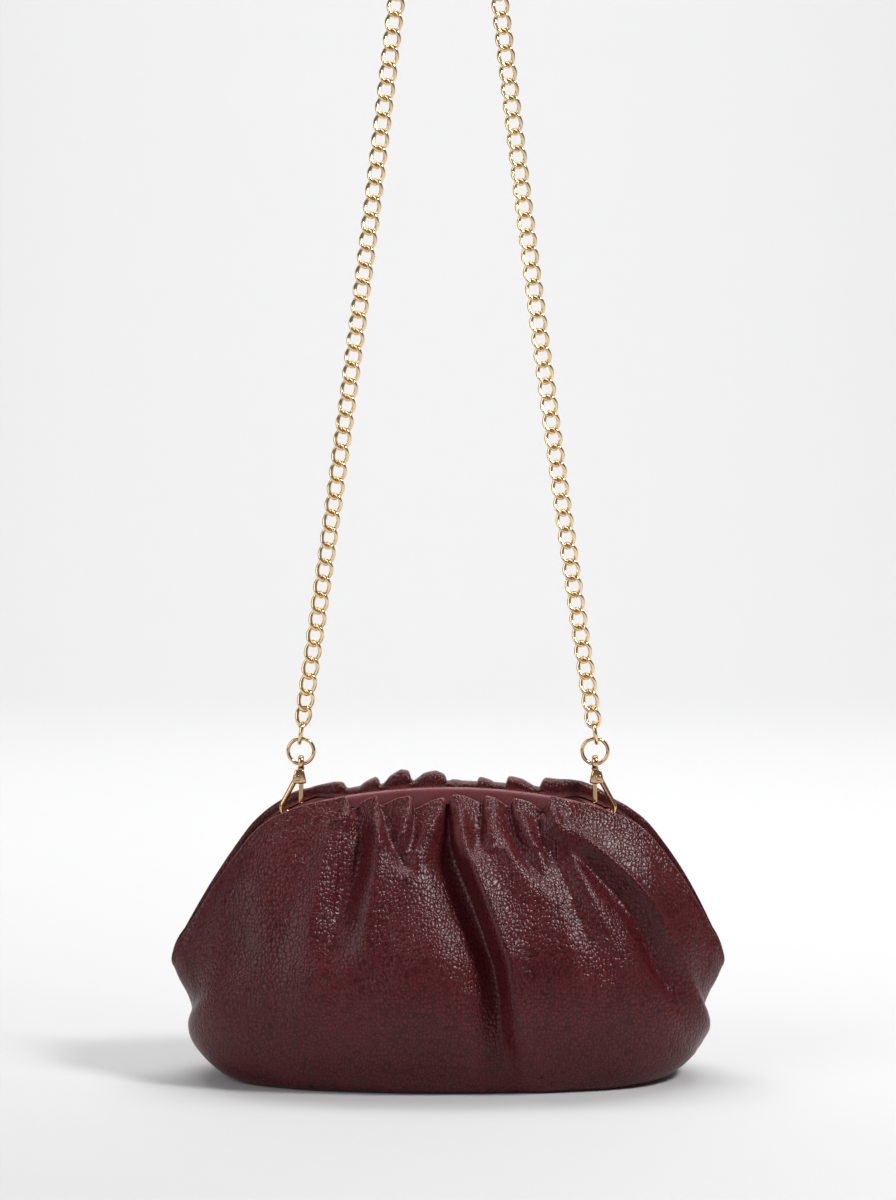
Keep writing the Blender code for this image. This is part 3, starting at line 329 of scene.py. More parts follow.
def normals_of(grid, side):
    """The outward directions of a grid of points."""
    across = np.gradient(grid, axis=1)
    down = np.gradient(grid, axis=0)
    found = np.cross(across, down) * side
    return found / np.maximum(np.linalg.norm(found, axis=2, keepdims=True), 1e-12)


def folded(grid, drops, side, folds, soften=1.0):
    """The shell drawn in along its fold lines and pushed out a little beside them."""
    x_mm = grid[..., 0] * 1000
    moved = np.zeros(x_mm.shape)
    crushed = np.zeros(x_mm.shape)
    under = np.concatenate([[False], np.diff(drops) <= 0]) | (drops > 0.999)
    for depth, places in folds:
        line = np.array(places, float)
        pixel, strength, left, right = [np.interp(drops, line[:, 1], line[:, k])[:, None]
                                        for k in (0, 2, 3, 4)]
        strength = strength * ((drops >= line[0, 1]) & ~under)[:, None]
        left, right = left * soften, right * soften
        away = x_mm - pixel * METRES_PER_PIXEL * 1000
        width = np.where(away < 0, left, right)
        inward = depth * strength * np.exp(-np.abs(away / width) ** 1.7)
        moved -= inward
        crushed += inward
        gentle, steep = np.maximum(left, right), np.minimum(left, right)
        ridge_side = np.where(left > right, 1, -1)
        beside = (away * ridge_side - steep * 1.3 - 3) / (0.28 * gentle + 2.5)
        moved += 0.3 * depth * strength * np.exp(-beside ** 2) * (drops > 0.04)[:, None]
    found = grid + normals_of(grid, side) * (moved / 1000)[..., None]
    near_rim = np.exp(-(drops / 0.03) ** 2)[:, None]
    found[..., 2] -= near_rim * crushed * 0.00035
    return found


def rumpled(grid, side):
    """The shell with soft dents and swellings of the leather, none at its rim or seams."""
    rows, columns = grid.shape[:2]
    push = np.zeros((rows, columns))
    for scale, height in DENTS:
        for r in range(rows):
            push[r] += [height * noise.noise((x + 5 * side, y * 0.6, z * 0.7))
                        for x, y, z in grid[r] * scale]
    fade_rows = np.clip(np.arange(rows) / rows * 8, 0, 1) * np.clip(
        (rows - 1 - np.arange(rows)) / rows * 4, 0, 1)
    fade_columns = np.clip((1 - np.abs(np.linspace(-1, 1, columns))) * 8, 0, 1)
    push = push * fade_rows[:, None] * fade_columns * DENT_DEPTH
    return grid + normals_of(grid, side) * push[..., None]


def scalloped(grid, drops, edge_x, flaps):
    """The sheet with the tops of its pleats raised and lowered one by one."""
    table = np.array(flaps, float)
    rise = np.interp(edge_x / METRES_PER_PIXEL, table[:, 0], table[:, 1]) / 1000
    found = grid.copy()
    found[..., 2] += rise * np.exp(-(drops / FLAP_FADE) ** 2)[:, None]
    return found


def wrapped(rim, edge, share):
    """The outer and inner rows of the back edge where it wraps forward over its cover, from its
    hanging end to the rim."""
    up = upright(edge[:, (0, 2)])
    line = read_at(share, frame_line(FINE))
    high = (rim[:, 0] - line[:, 0]) * up[:, 0] + (rim[:, 2] - line[:, 1]) * up[:, 2]
    table = np.array(WRAPS, float)
    away = np.abs(edge[:, 0]) * 1000
    stop, lift, end = [np.interp(away, table[:, 0], table[:, k]) / 1000 for k in (1, 2, 3)]
    reach = np.maximum(rim[:, 1] - bow(share) - stop, 0.0006)
    wall = np.minimum(WRAP_WALL, reach * 0.3)
    lift = np.maximum(lift, np.where(away < 80, COVER_TOP + GAP + WRAP_WALL - high, 0))
    fall = np.maximum(high + lift - end, wall * 1.5)
    rows = [[], []]
    for k in range(WRAP_ROWS, 0, -1):
        turn = math.pi * k / WRAP_ROWS
        across = math.copysign(abs(math.cos(turn)) ** WRAP_SQUARE, math.cos(turn))
        along = math.sin(turn) ** WRAP_SQUARE if k < WRAP_ROWS else 0.0
        for found, inset in zip(rows, (0, wall)):
            forward = inset + (reach / 2 - inset) * (1 - across)
            height = ((lift - inset) * along if turn < math.pi / 2
                      else lift - inset - (fall - inset) * (1 - along))
            found.append(rim - [0, 1, 0] * forward[:, None] + up * height[:, None])
    return np.array(rows[0]), np.array(rows[1])


def worn(grid, drops, side, step=0.0007):
    """How sharply each place of a sheet crests near its upper edge, from 0 to 1."""
    depth = grid[..., 1] * side
    x = grid[0, :, 0]
    even = np.arange(x[0], x[-1], step / 2)
    found = np.zeros(depth.shape)
    for r, row in enumerate(depth):
        level = np.interp(even, x, row)
        bend = np.zeros(len(even))
        bend[2:-2] = 2 * level[2:-2] - level[:-4] - level[4:]
        found[r] = np.interp(x, even, bend)
    return np.clip(found / step - 0.35, 0, 1) * np.clip((0.2 - drops) / 0.12, 0, 1)[:, None]


def finished_mesh(name, points, faces, sharp, slots=None):
    """A smooth closed mesh with its faces turned outward, sharp beyond an angle in degrees."""
    mesh = bpy.data.meshes.new(name)
    mesh.from_pydata(np.asarray(points).reshape(-1, 3).tolist(), [], faces)
    if slots is not None:
        mesh.polygons.foreach_set("material_index", slots)
    bm = bmesh.new()
    bm.from_mesh(mesh)
    bmesh.ops.recalc_face_normals(bm, faces=bm.faces)
    bm.to_mesh(mesh)
    bm.free()
    mesh.shade_smooth()
    mesh.set_sharp_from_angle(angle=math.radians(sharp))
    return mesh


def sheet_mesh(name, outside, inside, step=1):
    """A closed sheet between two grids of points, with its rim as material slot 1. The inner grid
    may be coarser: it has every step-th row and column of the outer one."""
    outer_index = np.arange(outside[..., 0].size).reshape(outside.shape[:2])
    inner_index = outer_index.size + np.arange(inside[..., 0].size).reshape(inside.shape[:2])
    faces = []
    rims = []
    for index in (outer_index, inner_index):
        quads = np.stack([index[:-1, :-1], index[:-1, 1:], index[1:, 1:], index[1:, :-1]], -1)
        faces += quads.reshape(-1, 4).tolist()
        rims.append(np.concatenate([index[0], index[1:, -1], index[-1, -2::-1],
                                    index[-2:0:-1, 0]]).tolist())
    skins = len(faces)
    outer_rim, inner_rim = rims
    outer_rim.append(outer_rim[0])
    inner_rim.append(inner_rim[0])
    for k in range(len(inner_rim) - 1):
        run = outer_rim[k * step:(k + 1) * step + 1]
        faces.append(run + [inner_rim[k + 1], inner_rim[k]])
    points = np.concatenate([outside.reshape(-1, 3), inside.reshape(-1, 3)])
    slots = np.concatenate([np.zeros(skins, np.int32), np.ones(len(faces) - skins, np.int32)])
    return finished_mesh(name, points, faces, 75, slots)


def loft_mesh(name, rings, sharp=42, closed=False):
    """Rings of points skinned into a solid, capped at both ends or closed into a loop."""
    index = np.arange(rings[..., 0].size).reshape(rings.shape[:2])
    if closed:
        index = np.concatenate([index, index[:1]])
    beside = np.roll(index, -1, 1)
    faces = np.stack([index[:-1], beside[:-1], beside[1:], index[1:]], -1).reshape(-1, 4).tolist()
    if not closed:
        faces += [index[0, ::-1].tolist(), index[-1].tolist()]
    return finished_mesh(name, rings, faces, sharp)


def around(count):
    """Angles at even steps around a circle."""
    return 2 * np.pi * np.arange(count) / count


def tube_mesh(name, points, side, half_side, half_up, sides=WIRE_SIDES, closed=False):
    """A wire swept along points with an oval section. side is the section's first axis."""
    points = np.asarray(points, float)
    if closed:
        ahead = np.roll(points, -1, 0) - np.roll(points, 1, 0)
    else:
        ahead = np.gradient(points, axis=0)
    ahead /= np.linalg.norm(ahead, axis=1, keepdims=True)
    side = np.broadcast_to(np.asarray(side, float), points.shape)
    side = side - ahead * (side * ahead).sum(1, keepdims=True)
    side = side / np.linalg.norm(side, axis=1, keepdims=True)
    up = np.cross(ahead, side)
    up /= np.linalg.norm(up, axis=1, keepdims=True)
    turn = around(sides)
    rings = (points[:, None] + side[:, None] * half_side * np.cos(turn)[None, :, None]
             + up[:, None] * half_up * np.sin(turn)[None, :, None])
    return loft_mesh(name, rings, 50, closed)


def turned_mesh(name, centre, axis, profile):
    """A turned piece along an axis. The profile is pairs of place along the axis and radius."""
    axis = np.asarray(axis, float)
    first = np.cross(axis, (0.3, 0.5, 0.8))
    first /= np.linalg.norm(first)
    second = np.cross(axis, first)
    turn = around(SOLID_SIDES)
    spokes = np.cos(turn)[:, None] * first + np.sin(turn)[:, None] * second
    rings = [np.asarray(centre) + axis * along + spokes * radius for along, radius in profile]
    return loft_mesh(name, np.array(rings))


def block_mesh(name, sections, square=0.45):
    """Rounded square sections stacked up Z: each has a centre x, a height and two half widths."""
    turn = around(SOLID_SIDES)
    cos, sin = np.cos(turn), np.sin(turn)
    x_way = np.sign(cos) * np.abs(cos) ** square
    y_way = np.sign(sin) * np.abs(sin) ** square
    rings = [np.stack([x + x_way * half_x, y_way * half_y, np.full(SOLID_SIDES, z)], 1)
             for x, z, half_x, half_y in sections]
    return loft_mesh(name, np.array(rings))


def dome(low, high, radius):
    """A turned profile with a rounded rim at each end."""
    edge = min(radius, high - low) * 0.35
    steps = [math.radians(a) for a in (0, 25, 50, 75, 90)]
    start = [(low + edge * (1 - math.sin(a)), radius - edge * (1 - math.cos(a))) for a in steps]
    end = [(high - edge * (1 - math.sin(a)), radius - edge * (1 - math.cos(a))) for a in steps]
    return start[::-1] + end


def joined(name, *meshes):
    """One mesh from several solids."""
    bm = bmesh.new()
    for mesh in meshes:
        bm.from_mesh(mesh)
    made = bpy.data.meshes.new(name)
    bm.to_mesh(made)
    bm.free()
    return made


def add(name, data, *looks):
    """An object in the scene from a mesh with its materials, a light or a camera."""
    made = bpy.data.objects.new(name, data)
    bpy.context.scene.collection.objects.link(made)
    for look in looks:
        data.materials.append(look)
    return made


class Nodes:
    """A node tree, with short ways to add and join nodes."""

    def __init__(self, tree):
        self.tree = tree

    def add(self, kind, **settings):
        """A new node with its settings."""
        node = self.tree.nodes.new(kind)
        for key, value in settings.items():
            setattr(node, key, value)
        return node

    def join(self, start, end):
        """A link from an output to an input."""
        self.tree.links.new(start, end)

    def math(self, operation, *values, clamp=False):
        """The output of a maths node whose inputs are numbers or other nodes' outputs."""
        node = self.add("ShaderNodeMath", operation=operation, use_clamp=clamp)
        for socket, value in zip(node.inputs, values):
            if isinstance(value, (int, float)):
                socket.default_value = value
            else:
                self.join(value, socket)
        return node.outputs[0]


def new_material(name, roughness, metallic=0.0, colour=(1, 1, 1)):
    """A material with even values, its nodes and its shader's inputs."""
    material = bpy.data.materials.new(name)
    material.use_nodes = True
    n = Nodes(material.node_tree)
    shader = material.node_tree.nodes["Principled BSDF"].inputs
    shader["Base Color"].default_value = (*colour, 1)
    shader["Roughness"].default_value = roughness
    shader["Metallic"].default_value = metallic
    return material, n, shader


def plain_material(name, colour, roughness, metallic=0.0):
    """A material of one colour and one gloss."""
    return new_material(name, roughness, metallic, colour)[0]


def gold_material(name, colour):
    """Polished gold with faint unevenness in its gloss."""
    material, n, shader = new_material(name, 0.1, 1.0, colour)
    shader["Specular Tint"].default_value = (0.42, 0.26, 0.12, 1)
    spots = n.add("ShaderNodeTexNoise")
    spots.inputs["Scale"].default_value = 400
    n.join(n.add("ShaderNodeTexCoord").outputs["Object"], spots.inputs["Vector"])
    n.join(n.math("ADD", n.math("MULTIPLY", spots.outputs["Fac"], 0.1), 0.08),
           shader["Roughness"])
    return material


def leather_material(name, dark, light, grain=570.0, depth=0.0002):
    """Pebbled leather: domed cells with thin furrows between them, painted shade that darkens the
    colour in the furrows, cloudy colour, and pale marks where the mesh says that it is worn."""
    material, n, shader = new_material(name, 0.3)
    shader["Specular IOR Level"].default_value = 0.26
    place = n.add("ShaderNodeTexCoord").outputs["Object"]

    def cloudy(scale, detail=2.0):
        node = n.add("ShaderNodeTexNoise")
        node.inputs["Scale"].default_value = scale
        node.inputs["Detail"].default_value = detail
        n.join(place, node.inputs["Vector"])
        return node.outputs

    bend = n.add("ShaderNodeVectorMath", operation="SCALE")
    bend.inputs["Scale"].default_value = 0.005
    n.join(cloudy(120)["Color"], bend.inputs[0])
    bent = n.add("ShaderNodeVectorMath", operation="MULTIPLY_ADD")
    bent.inputs[1].default_value = (1, 1, 0.8)
    n.join(place, bent.inputs[0])
    n.join(bend.outputs[0], bent.inputs[2])
    cells = []
    for feature in ("F1", "DISTANCE_TO_EDGE"):
        node = n.add("ShaderNodeTexVoronoi", feature=feature)
        node.inputs["Scale"].default_value = grain
        node.inputs["Randomness"].default_value = 0.68
        n.join(bent.outputs[0], node.inputs["Vector"])
        cells.append(node.outputs["Distance"])
    dome_height = n.math("SUBTRACT", 1.0, n.math("MULTIPLY", n.math("POWER", cells[0], 2.0), 2.2))
    furrow = n.add("ShaderNodeMapRange", interpolation_type="SMOOTHSTEP")
    furrow.inputs["From Max"].default_value = 0.24
    n.join(cells[1], furrow.inputs["Value"])
    height = n.math("ADD", dome_height, n.math("MULTIPLY", furrow.outputs["Result"], 0.25))
    amount = n.add("ShaderNodeMapRange")
    amount.inputs["From Min"].default_value = 0.35
    amount.inputs["From Max"].default_value = 0.65
    amount.inputs["To Min"].default_value = 0.5
    n.join(cloudy(24)["Fac"], amount.inputs["Value"])
    bump = n.add("ShaderNodeBump")
    bump.inputs["Strength"].default_value = 1.0
    bump.inputs["Distance"].default_value = depth
    n.join(n.math("MULTIPLY", height, amount.outputs["Result"]), bump.inputs["Height"])
    n.join(bump.outputs["Normal"], shader["Normal"])

    # Painted shade: the colour is darker in the furrows between the pebbles, over cloudy tone that
    # differs at random
    furrow_shade_and_tone = n.math("ADD", n.math("MULTIPLY", furrow.outputs["Result"], 0.52),
                  n.math("MULTIPLY", cloudy(26, 4)["Fac"], 0.6))
    ramp = n.add("ShaderNodeValToRGB")
    for stop, colour, position in zip(ramp.color_ramp.elements, (dark, light), (0.15, 0.85)):
        stop.color = (*colour, 1)
        stop.position = position
    n.join(furrow_shade_and_tone, ramp.inputs["Fac"])
    wear = n.add("ShaderNodeAttribute", attribute_name="wear")
    mix = n.add("ShaderNodeMix", data_type="RGBA")
    mix.inputs["B"].default_value = (0.30, 0.115, 0.11, 1)
    n.join(n.math("MULTIPLY", wear.outputs["Fac"], 0.75, clamp=True), mix.inputs["Factor"])
    n.join(ramp.outputs["Color"], mix.inputs["A"])
    n.join(mix.outputs["Result"], shader["Base Color"])
    return material


def carry(made, side):
    """The back sheets ride on the body. The front ones have their place baked into their mesh."""
    if side > 0:
        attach(made, "body")
    else:
        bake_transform(made)


def build_leather(looks):
    """The pleated front and back."""
    columns, rows = ((COLUMNS, ROWS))
    for name, side, folds, flaps in (("front_leather", -1, FRONT_FOLDS, FRONT_FLAPS),
                                     ("back_leather", 1, BACK_FOLDS, BACK_FLAPS)):
        smooth, drops = shell(side, columns, rows)
        outside, coarse = [scalloped(rumpled(folded(smooth, drops, side, folds, soften), side),
                                     drops, smooth[0, :, 0], flaps)
                           for soften in (1.0, INSIDE_SOFTENING)]
        wear = worn(outside, drops, side)
        wear[:2] = 1
        inward = normals_of(coarse, side)
        inward[:, (0, -1), 1] = 0
        inside = coarse - inward * LEATHER * 1.3
        inside[0] = outside[0] - inward[0] * LEATHER
        if side > 0:
            inside[0] = outside[0] - [0, WRAP_WALL, 0]
            outer, inner = wrapped(outside[0], smooth[0], spread(columns))
            outside = np.concatenate([outer, outside])
            inside = np.concatenate([inner, inside])
            wear[:2] = 0
            wear = np.concatenate([np.zeros((WRAP_ROWS, columns + 1)), wear])
            wear[0] = 1
        inside = inside[::INNER_STEP, ::INNER_STEP]
        for skin in (outside, inside):
            skin[..., 1] = side * np.maximum(skin[..., 1] * side, SEAM_GAP / 2)
        outside[..., 2] = np.maximum(outside[..., 2], 0)
        inside[..., 2] = np.maximum(inside[..., 2], LEATHER)
        mesh = sheet_mesh(name, outside, inside, INNER_STEP)
        marks = mesh.attributes.new("wear", "FLOAT", "POINT")
        marks.data.foreach_set("value", np.concatenate(
            [wear.ravel(), np.zeros(len(mesh.vertices) - wear.size)]))
        made = add(f"pleated_{name}", mesh, *looks)
        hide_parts(name)
        carry(made, side)


def build_linings(cloth):
    """The two halves of the lining hang inside the folds, from the lower edges of the covers."""
    for label, side, folds in (("front", -1, FRONT_FOLDS), ("back", 1, BACK_FOLDS)):
        smooth, drops = shell(side, LINING_COLUMNS, LINING_ROWS)
        smooth[..., 2] = np.minimum(smooth[..., 2], FRAME_TOP_Z)
        outside = folded(smooth, drops, side, folds, LINING_SOFTENING)
        start = int(np.argmax(drops > LINING_START))
        hung = (outside - normals_of(outside, side) * LINING_SLACK)[start:]
        share = spread(LINING_COLUMNS)
        line = read_at(share, frame_line(LINING_COLUMNS * 4))
        held_y = (bow(share) + COVER_DEPTH / 2) * opened(share) + SEAM_GAP
        first = (np.stack([line[:, 0], side * held_y, line[:, 1]], 1)
                 - upright(line) * (COVER_HEIGHT - COVER_TOP))
        between = [first + (hung[0] - first) * t for t in (0, 0.25, 0.5, 0.75)]
        grid = np.concatenate([np.array(between), hung])
        grid[..., 1] = side * np.maximum(grid[..., 1] * side, SEAM_GAP)
        grid[..., 2] = np.maximum(grid[..., 2], LEATHER * 3)
        inside = grid - normals_of(grid, side) * LINING
        inside[..., 1] = side * np.maximum(inside[..., 1] * side, SEAM_GAP * 0.9)
        made = add(f"cloth_{label}_lining", sheet_mesh(label, grid, inside), cloth, cloth)
        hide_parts(f"{label}_lining")
        carry(made, side)


def build_covers(look):
    """The smooth leather covers over the frame bars."""
    line = frame_line(COVER_STEPS)
    share = np.linspace(-1, 1, COVER_STEPS + 1)
    out_way = upright(line)
    low, out = COVER_TOP - COVER_HEIGHT, COVER_DEPTH / 2
    radius = out * 0.75
    outline = [(out, low)]
    outline += [(out - radius + radius * math.cos(a), COVER_TOP - radius + radius * math.sin(a))
                for a in np.linspace(0, np.pi / 2, 7)]
    outline += [(-y, up) for y, up in outline[::-1]]
    inner = BAR_THICKNESS / 2 + GAP
    outline += [(-inner, low), (-inner, BAR_HEIGHT / 2), (inner, BAR_HEIGHT / 2), (inner, low)]
    keep = slice(COVER_END_STEPS, COVER_STEPS + 1 - COVER_END_STEPS)
    for name, side, body in (("front_frame_cover", -1, "front_frame"),
                             ("back_frame_cover", 1, "body")):
        middle_y = side * (bow(share) + COVER_DEPTH / 2)
        centre = np.stack([line[:, 0], middle_y, line[:, 1]], 1)
        rings = np.array([[c + np.array([0, y, 0]) + w * up for y, up in outline]
                          for c, w in zip(centre[keep], out_way[keep])])
        made = add(f"smooth_{name}", loft_mesh(name, rings, 50), look)
        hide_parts(name)
        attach(made, body)


def strap_places():
    """Heights, and the eyes' distance from the middle, that the strap's pieces share."""
    head_top = ANCHOR_Z + HEAD_RISE + HEAD_HEIGHT
    ring_bottom = head_top + GAP + EYE_WIRE * 2 + GAP + RING_WIRE
    eye_z = ring_bottom + EYE_RADIUS - EYE_WIRE - RING_WIRE - GAP
    eye_x = ANCHOR_X - HEAD_SHIFT - PIN_SHIFT
    return head_top, ring_bottom, eye_x, eye_z


def chain_places():
    """The chain's line from the left ring over the top to the right one, a place per link."""
    _, ring_bottom, eye_x, _ = strap_places()
    length = LINK_PITCH + 4 * LINK_WIRE - END_LINK_SLACK
    start_z = (ring_bottom + 2 * RING_RADIUS - RING_WIRE - GAP + length / 2 - 2 * LINK_WIRE)
    up = np.linspace(0, CHAIN_RISE, CHAIN_STEPS)
    left = CHAIN_RISE - up
    widening = eye_x - CHAIN_TOP_X - CHAIN_TOP_LEAN * CHAIN_RISE
    x = CHAIN_TOP_X + CHAIN_TOP_LEAN * left + widening * (left / CHAIN_RISE) ** 2
    run = np.stack([-x, 0 * x, start_z + up], 1)
    lean = math.atan(CHAIN_TOP_LEAN)
    radius = CHAIN_TOP_X / math.cos(lean)
    centre_z = run[-1, 2] - radius * math.sin(lean)
    turn = np.linspace(math.pi - lean, lean, CHAIN_STEPS)[1:-1]
    arc = np.stack([radius * np.cos(turn), 0 * turn, centre_z + radius * np.sin(turn)], 1)
    line = np.concatenate([run, arc, run[::-1] * [-1, 1, 1]])
    total = np.linalg.norm(np.diff(line, axis=0), axis=1).sum()
    return resampled(line, round(total / LINK_PITCH))


def chain_tree():
    """Geometry Nodes that set twisted curb links on the chain's places, and plain end links."""
    tree = bpy.data.node_groups.new("curb_chain", "GeometryNodeTree")
    tree.interface.new_socket("Places", in_out="INPUT", socket_type="NodeSocketGeometry")
    for name in ("Wire radius", "Link width", "Link length", "Twist"):
        tree.interface.new_socket(name, in_out="INPUT", socket_type="NodeSocketFloat")
    tree.interface.new_socket("Gold", in_out="INPUT", socket_type="NodeSocketMaterial")
    tree.interface.new_socket("Chain", in_out="OUTPUT", socket_type="NodeSocketGeometry")
    n = Nodes(tree)
    given = n.add("NodeGroupInput").outputs
    profile = n.add("GeometryNodeCurvePrimitiveCircle")
    profile.inputs["Resolution"].default_value = LINK_SIDES
    n.join(given["Wire radius"], profile.inputs["Radius"])

    def half(size):
        return n.math("SUBTRACT", n.math("MULTIPLY", given[size], 0.5), given["Wire radius"])

    def link(twist):
        oval = n.add("GeometryNodeCurvePrimitiveCircle")
        oval.inputs["Resolution"].default_value = LINK_STEPS
        oval.inputs["Radius"].default_value = 1
        split = n.add("ShaderNodeSeparateXYZ")
        n.join(n.add("GeometryNodeInputPosition").outputs[0], split.inputs[0])
        across = n.math("MULTIPLY", split.outputs["X"], half("Link width"))
        along = n.math("MULTIPLY", split.outputs["Y"], half("Link length"))
        roll = n.math("MULTIPLY", n.math("DIVIDE", along, given["Link length"]), twist)
        place = n.add("ShaderNodeCombineXYZ")
        n.join(n.math("MULTIPLY", across, n.math("COSINE", roll)), place.inputs["X"])
        n.join(n.math("MULTIPLY", across, n.math("SINE", roll)), place.inputs["Y"])
        n.join(along, place.inputs["Z"])
        bent = n.add("GeometryNodeSetPosition")
        n.join(oval.outputs[0], bent.inputs["Geometry"])
        n.join(place.outputs[0], bent.inputs["Position"])
        wire = n.add("GeometryNodeCurveToMesh")
        n.join(bent.outputs[0], wire.inputs["Curve"])
        n.join(profile.outputs[0], wire.inputs["Profile Curve"])
        return wire.outputs[0]

    def read(name, data_type):
        node = n.add("GeometryNodeInputNamedAttribute", data_type=data_type)
        node.inputs["Name"].default_value = name
        return node.outputs[0]

    turn = n.add("FunctionNodeAxesToRotation", primary_axis="Z", secondary_axis="X")
    n.join(read("way", "FLOAT_VECTOR"), turn.inputs["Primary Axis"])
    n.join(read("wide", "FLOAT_VECTOR"), turn.inputs["Secondary Axis"])
    at_end = read("at_end", "BOOLEAN")
    between = n.add("FunctionNodeBooleanMath", operation="NOT")
    n.join(at_end, between.inputs[0])
    both = n.add("GeometryNodeJoinGeometry")
    for twist, where in ((given["Twist"], between.outputs[0]), (0.0, at_end)):
        on = n.add("GeometryNodeInstanceOnPoints")
        n.join(given["Places"], on.inputs["Points"])
        n.join(where, on.inputs["Selection"])
        n.join(link(twist), on.inputs["Instance"])
        n.join(turn.outputs[0], on.inputs["Rotation"])
        n.join(on.outputs[0], both.inputs[0])
    real = n.add("GeometryNodeRealizeInstances")
    n.join(both.outputs[0], real.inputs[0])
    look = n.add("GeometryNodeSetMaterial")
    n.join(real.outputs[0], look.inputs["Geometry"])
    n.join(given["Gold"], look.inputs["Material"])
    n.join(look.outputs[0], n.add("NodeGroupOutput").inputs[0])
    return tree


def build_chain(gold):
    """Curb links set one by one along the strap, the end links turned to hold the O-rings."""
    places = chain_places()
    way = np.gradient(places, axis=0)
    way /= np.linalg.norm(way, axis=1, keepdims=True)
    count = len(places)
    from_end = np.minimum(np.arange(count), np.arange(count)[::-1])
    turn = np.where(from_end == 0, np.pi / 2,
                    END_LINK_TURN * np.exp(-(from_end - 1) / 1.5))[:, None]
    across = np.stack([way[:, 2], 0 * way[:, 0], -way[:, 0]], 1)
    wide = across * np.cos(turn) + np.array([0, 1, 0]) * np.sin(turn)
    mesh = bpy.data.meshes.new("chain_places")
    mesh.from_pydata(places.tolist(), [], [])
    for name, values in (("way", way), ("wide", wide)):
        directions = mesh.attributes.new(name, "FLOAT_VECTOR", "POINT")
        directions.data.foreach_set("vector", values.ravel())
    mesh.attributes.new("at_end", "BOOLEAN", "POINT").data.foreach_set("value", from_end == 0)
    route = add("chain_route", mesh)
    tree = chain_tree()
    setter = route.modifiers.new("links", "NODES")
    setter.node_group = tree
    sizes = {"Wire radius": LINK_WIRE, "Link width": LINK_WIDTH, "Twist": LINK_TWIST,
             "Link length": LINK_PITCH + 4 * LINK_WIRE + LINK_LAP, "Gold": gold}
    for socket in tree.interface.items_tree:
        if socket.name in sizes:
            setter[socket.identifier] = sizes[socket.name]
    ready = route.evaluated_get(bpy.context.evaluated_depsgraph_get())
    chain = bpy.data.meshes.new_from_object(ready)
    bpy.data.objects.remove(route)
    chain.shade_smooth()
    made = add("curb_chain", chain)
    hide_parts("chain_left_run", "chain_right_run", "chain_top_bight",
                "chain_end_link_left", "chain_end_link_right")
    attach(made, "strap")


def hardware(name, mesh, look, node, body):
    """A metal piece in the place of its CAD node."""
    made = add(name, mesh, look)
    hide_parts(node)
    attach(made, body)


def build_hook(label, where, gold):
    """A trigger snap hook: body, gate, pin, and the swivel eye that holds the O-ring."""

    def x_at(across):
        return where * (ANCHOR_X - across)

    bend = THROAT_RADIUS + HOOK_WIRE
    centre_up = THROAT_RADIUS - LOOP_WIRE - GAP
    path = [(HEAD_SHIFT - HEAD_HALF_WIDTH + HOOK_WIRE * 1.15, HEAD_RISE + HOOK_WIRE)]
    path += [(bend * math.cos(a), centre_up + bend * math.sin(a))
             for a in np.radians(np.linspace(160, 350, 40))]
    points = np.array([(x_at(across), 0, ANCHOR_Z + up) for across, up in path])
    shank = tube_mesh("shank", points, (0, 1, 0), HOOK_HALF_THICKNESS, HOOK_WIRE)
    low, high = ANCHOR_Z + HEAD_RISE, ANCHOR_Z + HEAD_RISE + HEAD_HEIGHT
    head = block_mesh("head", [
        (x_at(HEAD_SHIFT), z, HEAD_HALF_WIDTH * width, HEAD_HALF_THICKNESS * depth)
        for z, width, depth in ((low - 0.0004, 0.86, 0.8), (low, 0.98, 0.96), (low + 0.0006, 1, 1),
                                (high - 0.0022, 0.8, 0.98), (high - 0.0005, 0.66, 0.94),
                                (high, 0.56, 0.8))])
    hardware(f"snap_{label}", joined("snap", shank, head), gold, f"snap_hook_{label}",
             "strap_hooks")

    grip = HEAD_HALF_THICKNESS + PIN_HEAD
    pin = turned_mesh("pin", (x_at(HEAD_SHIFT - PIN_SHIFT), 0, low + PIN_RISE), (0, 1, 0),
                      dome(-grip, grip, PIN_RADIUS))
    hardware(f"pin_{label}", pin, gold, f"gate_pin_{label}", "strap_hooks")

    foot = ANCHOR_Z + centre_up + HOOK_WIRE + NOSE_GAP
    gate = block_mesh("gate", [
        (x_at(bend), z, half_width, half_depth) for z, half_width, half_depth in (
            (foot, 0.0009, 0.0008), (foot + 0.0003, 0.0012, 0.0011),
            (foot + 0.004, 0.0012, 0.0011), (foot + 0.009, 0.0011, 0.0010),
            (low - 0.0006, 0.0012, 0.0010), (low - 0.0004, 0.0009, 0.0008))])
    hardware(f"gate_{label}", gate, gold, f"hook_gate_{label}", f"{label}_gate")

    head_top, _, eye_x, eye_z = strap_places()
    turn = around(EYE_STEPS)
    eye = np.stack([np.full(EYE_STEPS, where * eye_x), EYE_RADIUS * np.cos(turn),
                    eye_z + EYE_RADIUS * np.sin(turn)], 1)
    loop = tube_mesh("eye", eye, (1, 0, 0), EYE_WIRE * 1.7, EYE_WIRE, EYE_SIDES, True)
    foot_z = eye_z - EYE_RADIUS - EYE_WIRE * 0.4
    collar = turned_mesh("collar", (where * eye_x, 0, head_top), (0, 0, 1),
                         dome(GAP * 0.3, foot_z - head_top + EYE_WIRE, COLLAR_RADIUS))
    hardware(f"eye_{label}", joined("swivel", loop, collar), gold, f"swivel_eye_{label}",
             "strap_hooks")


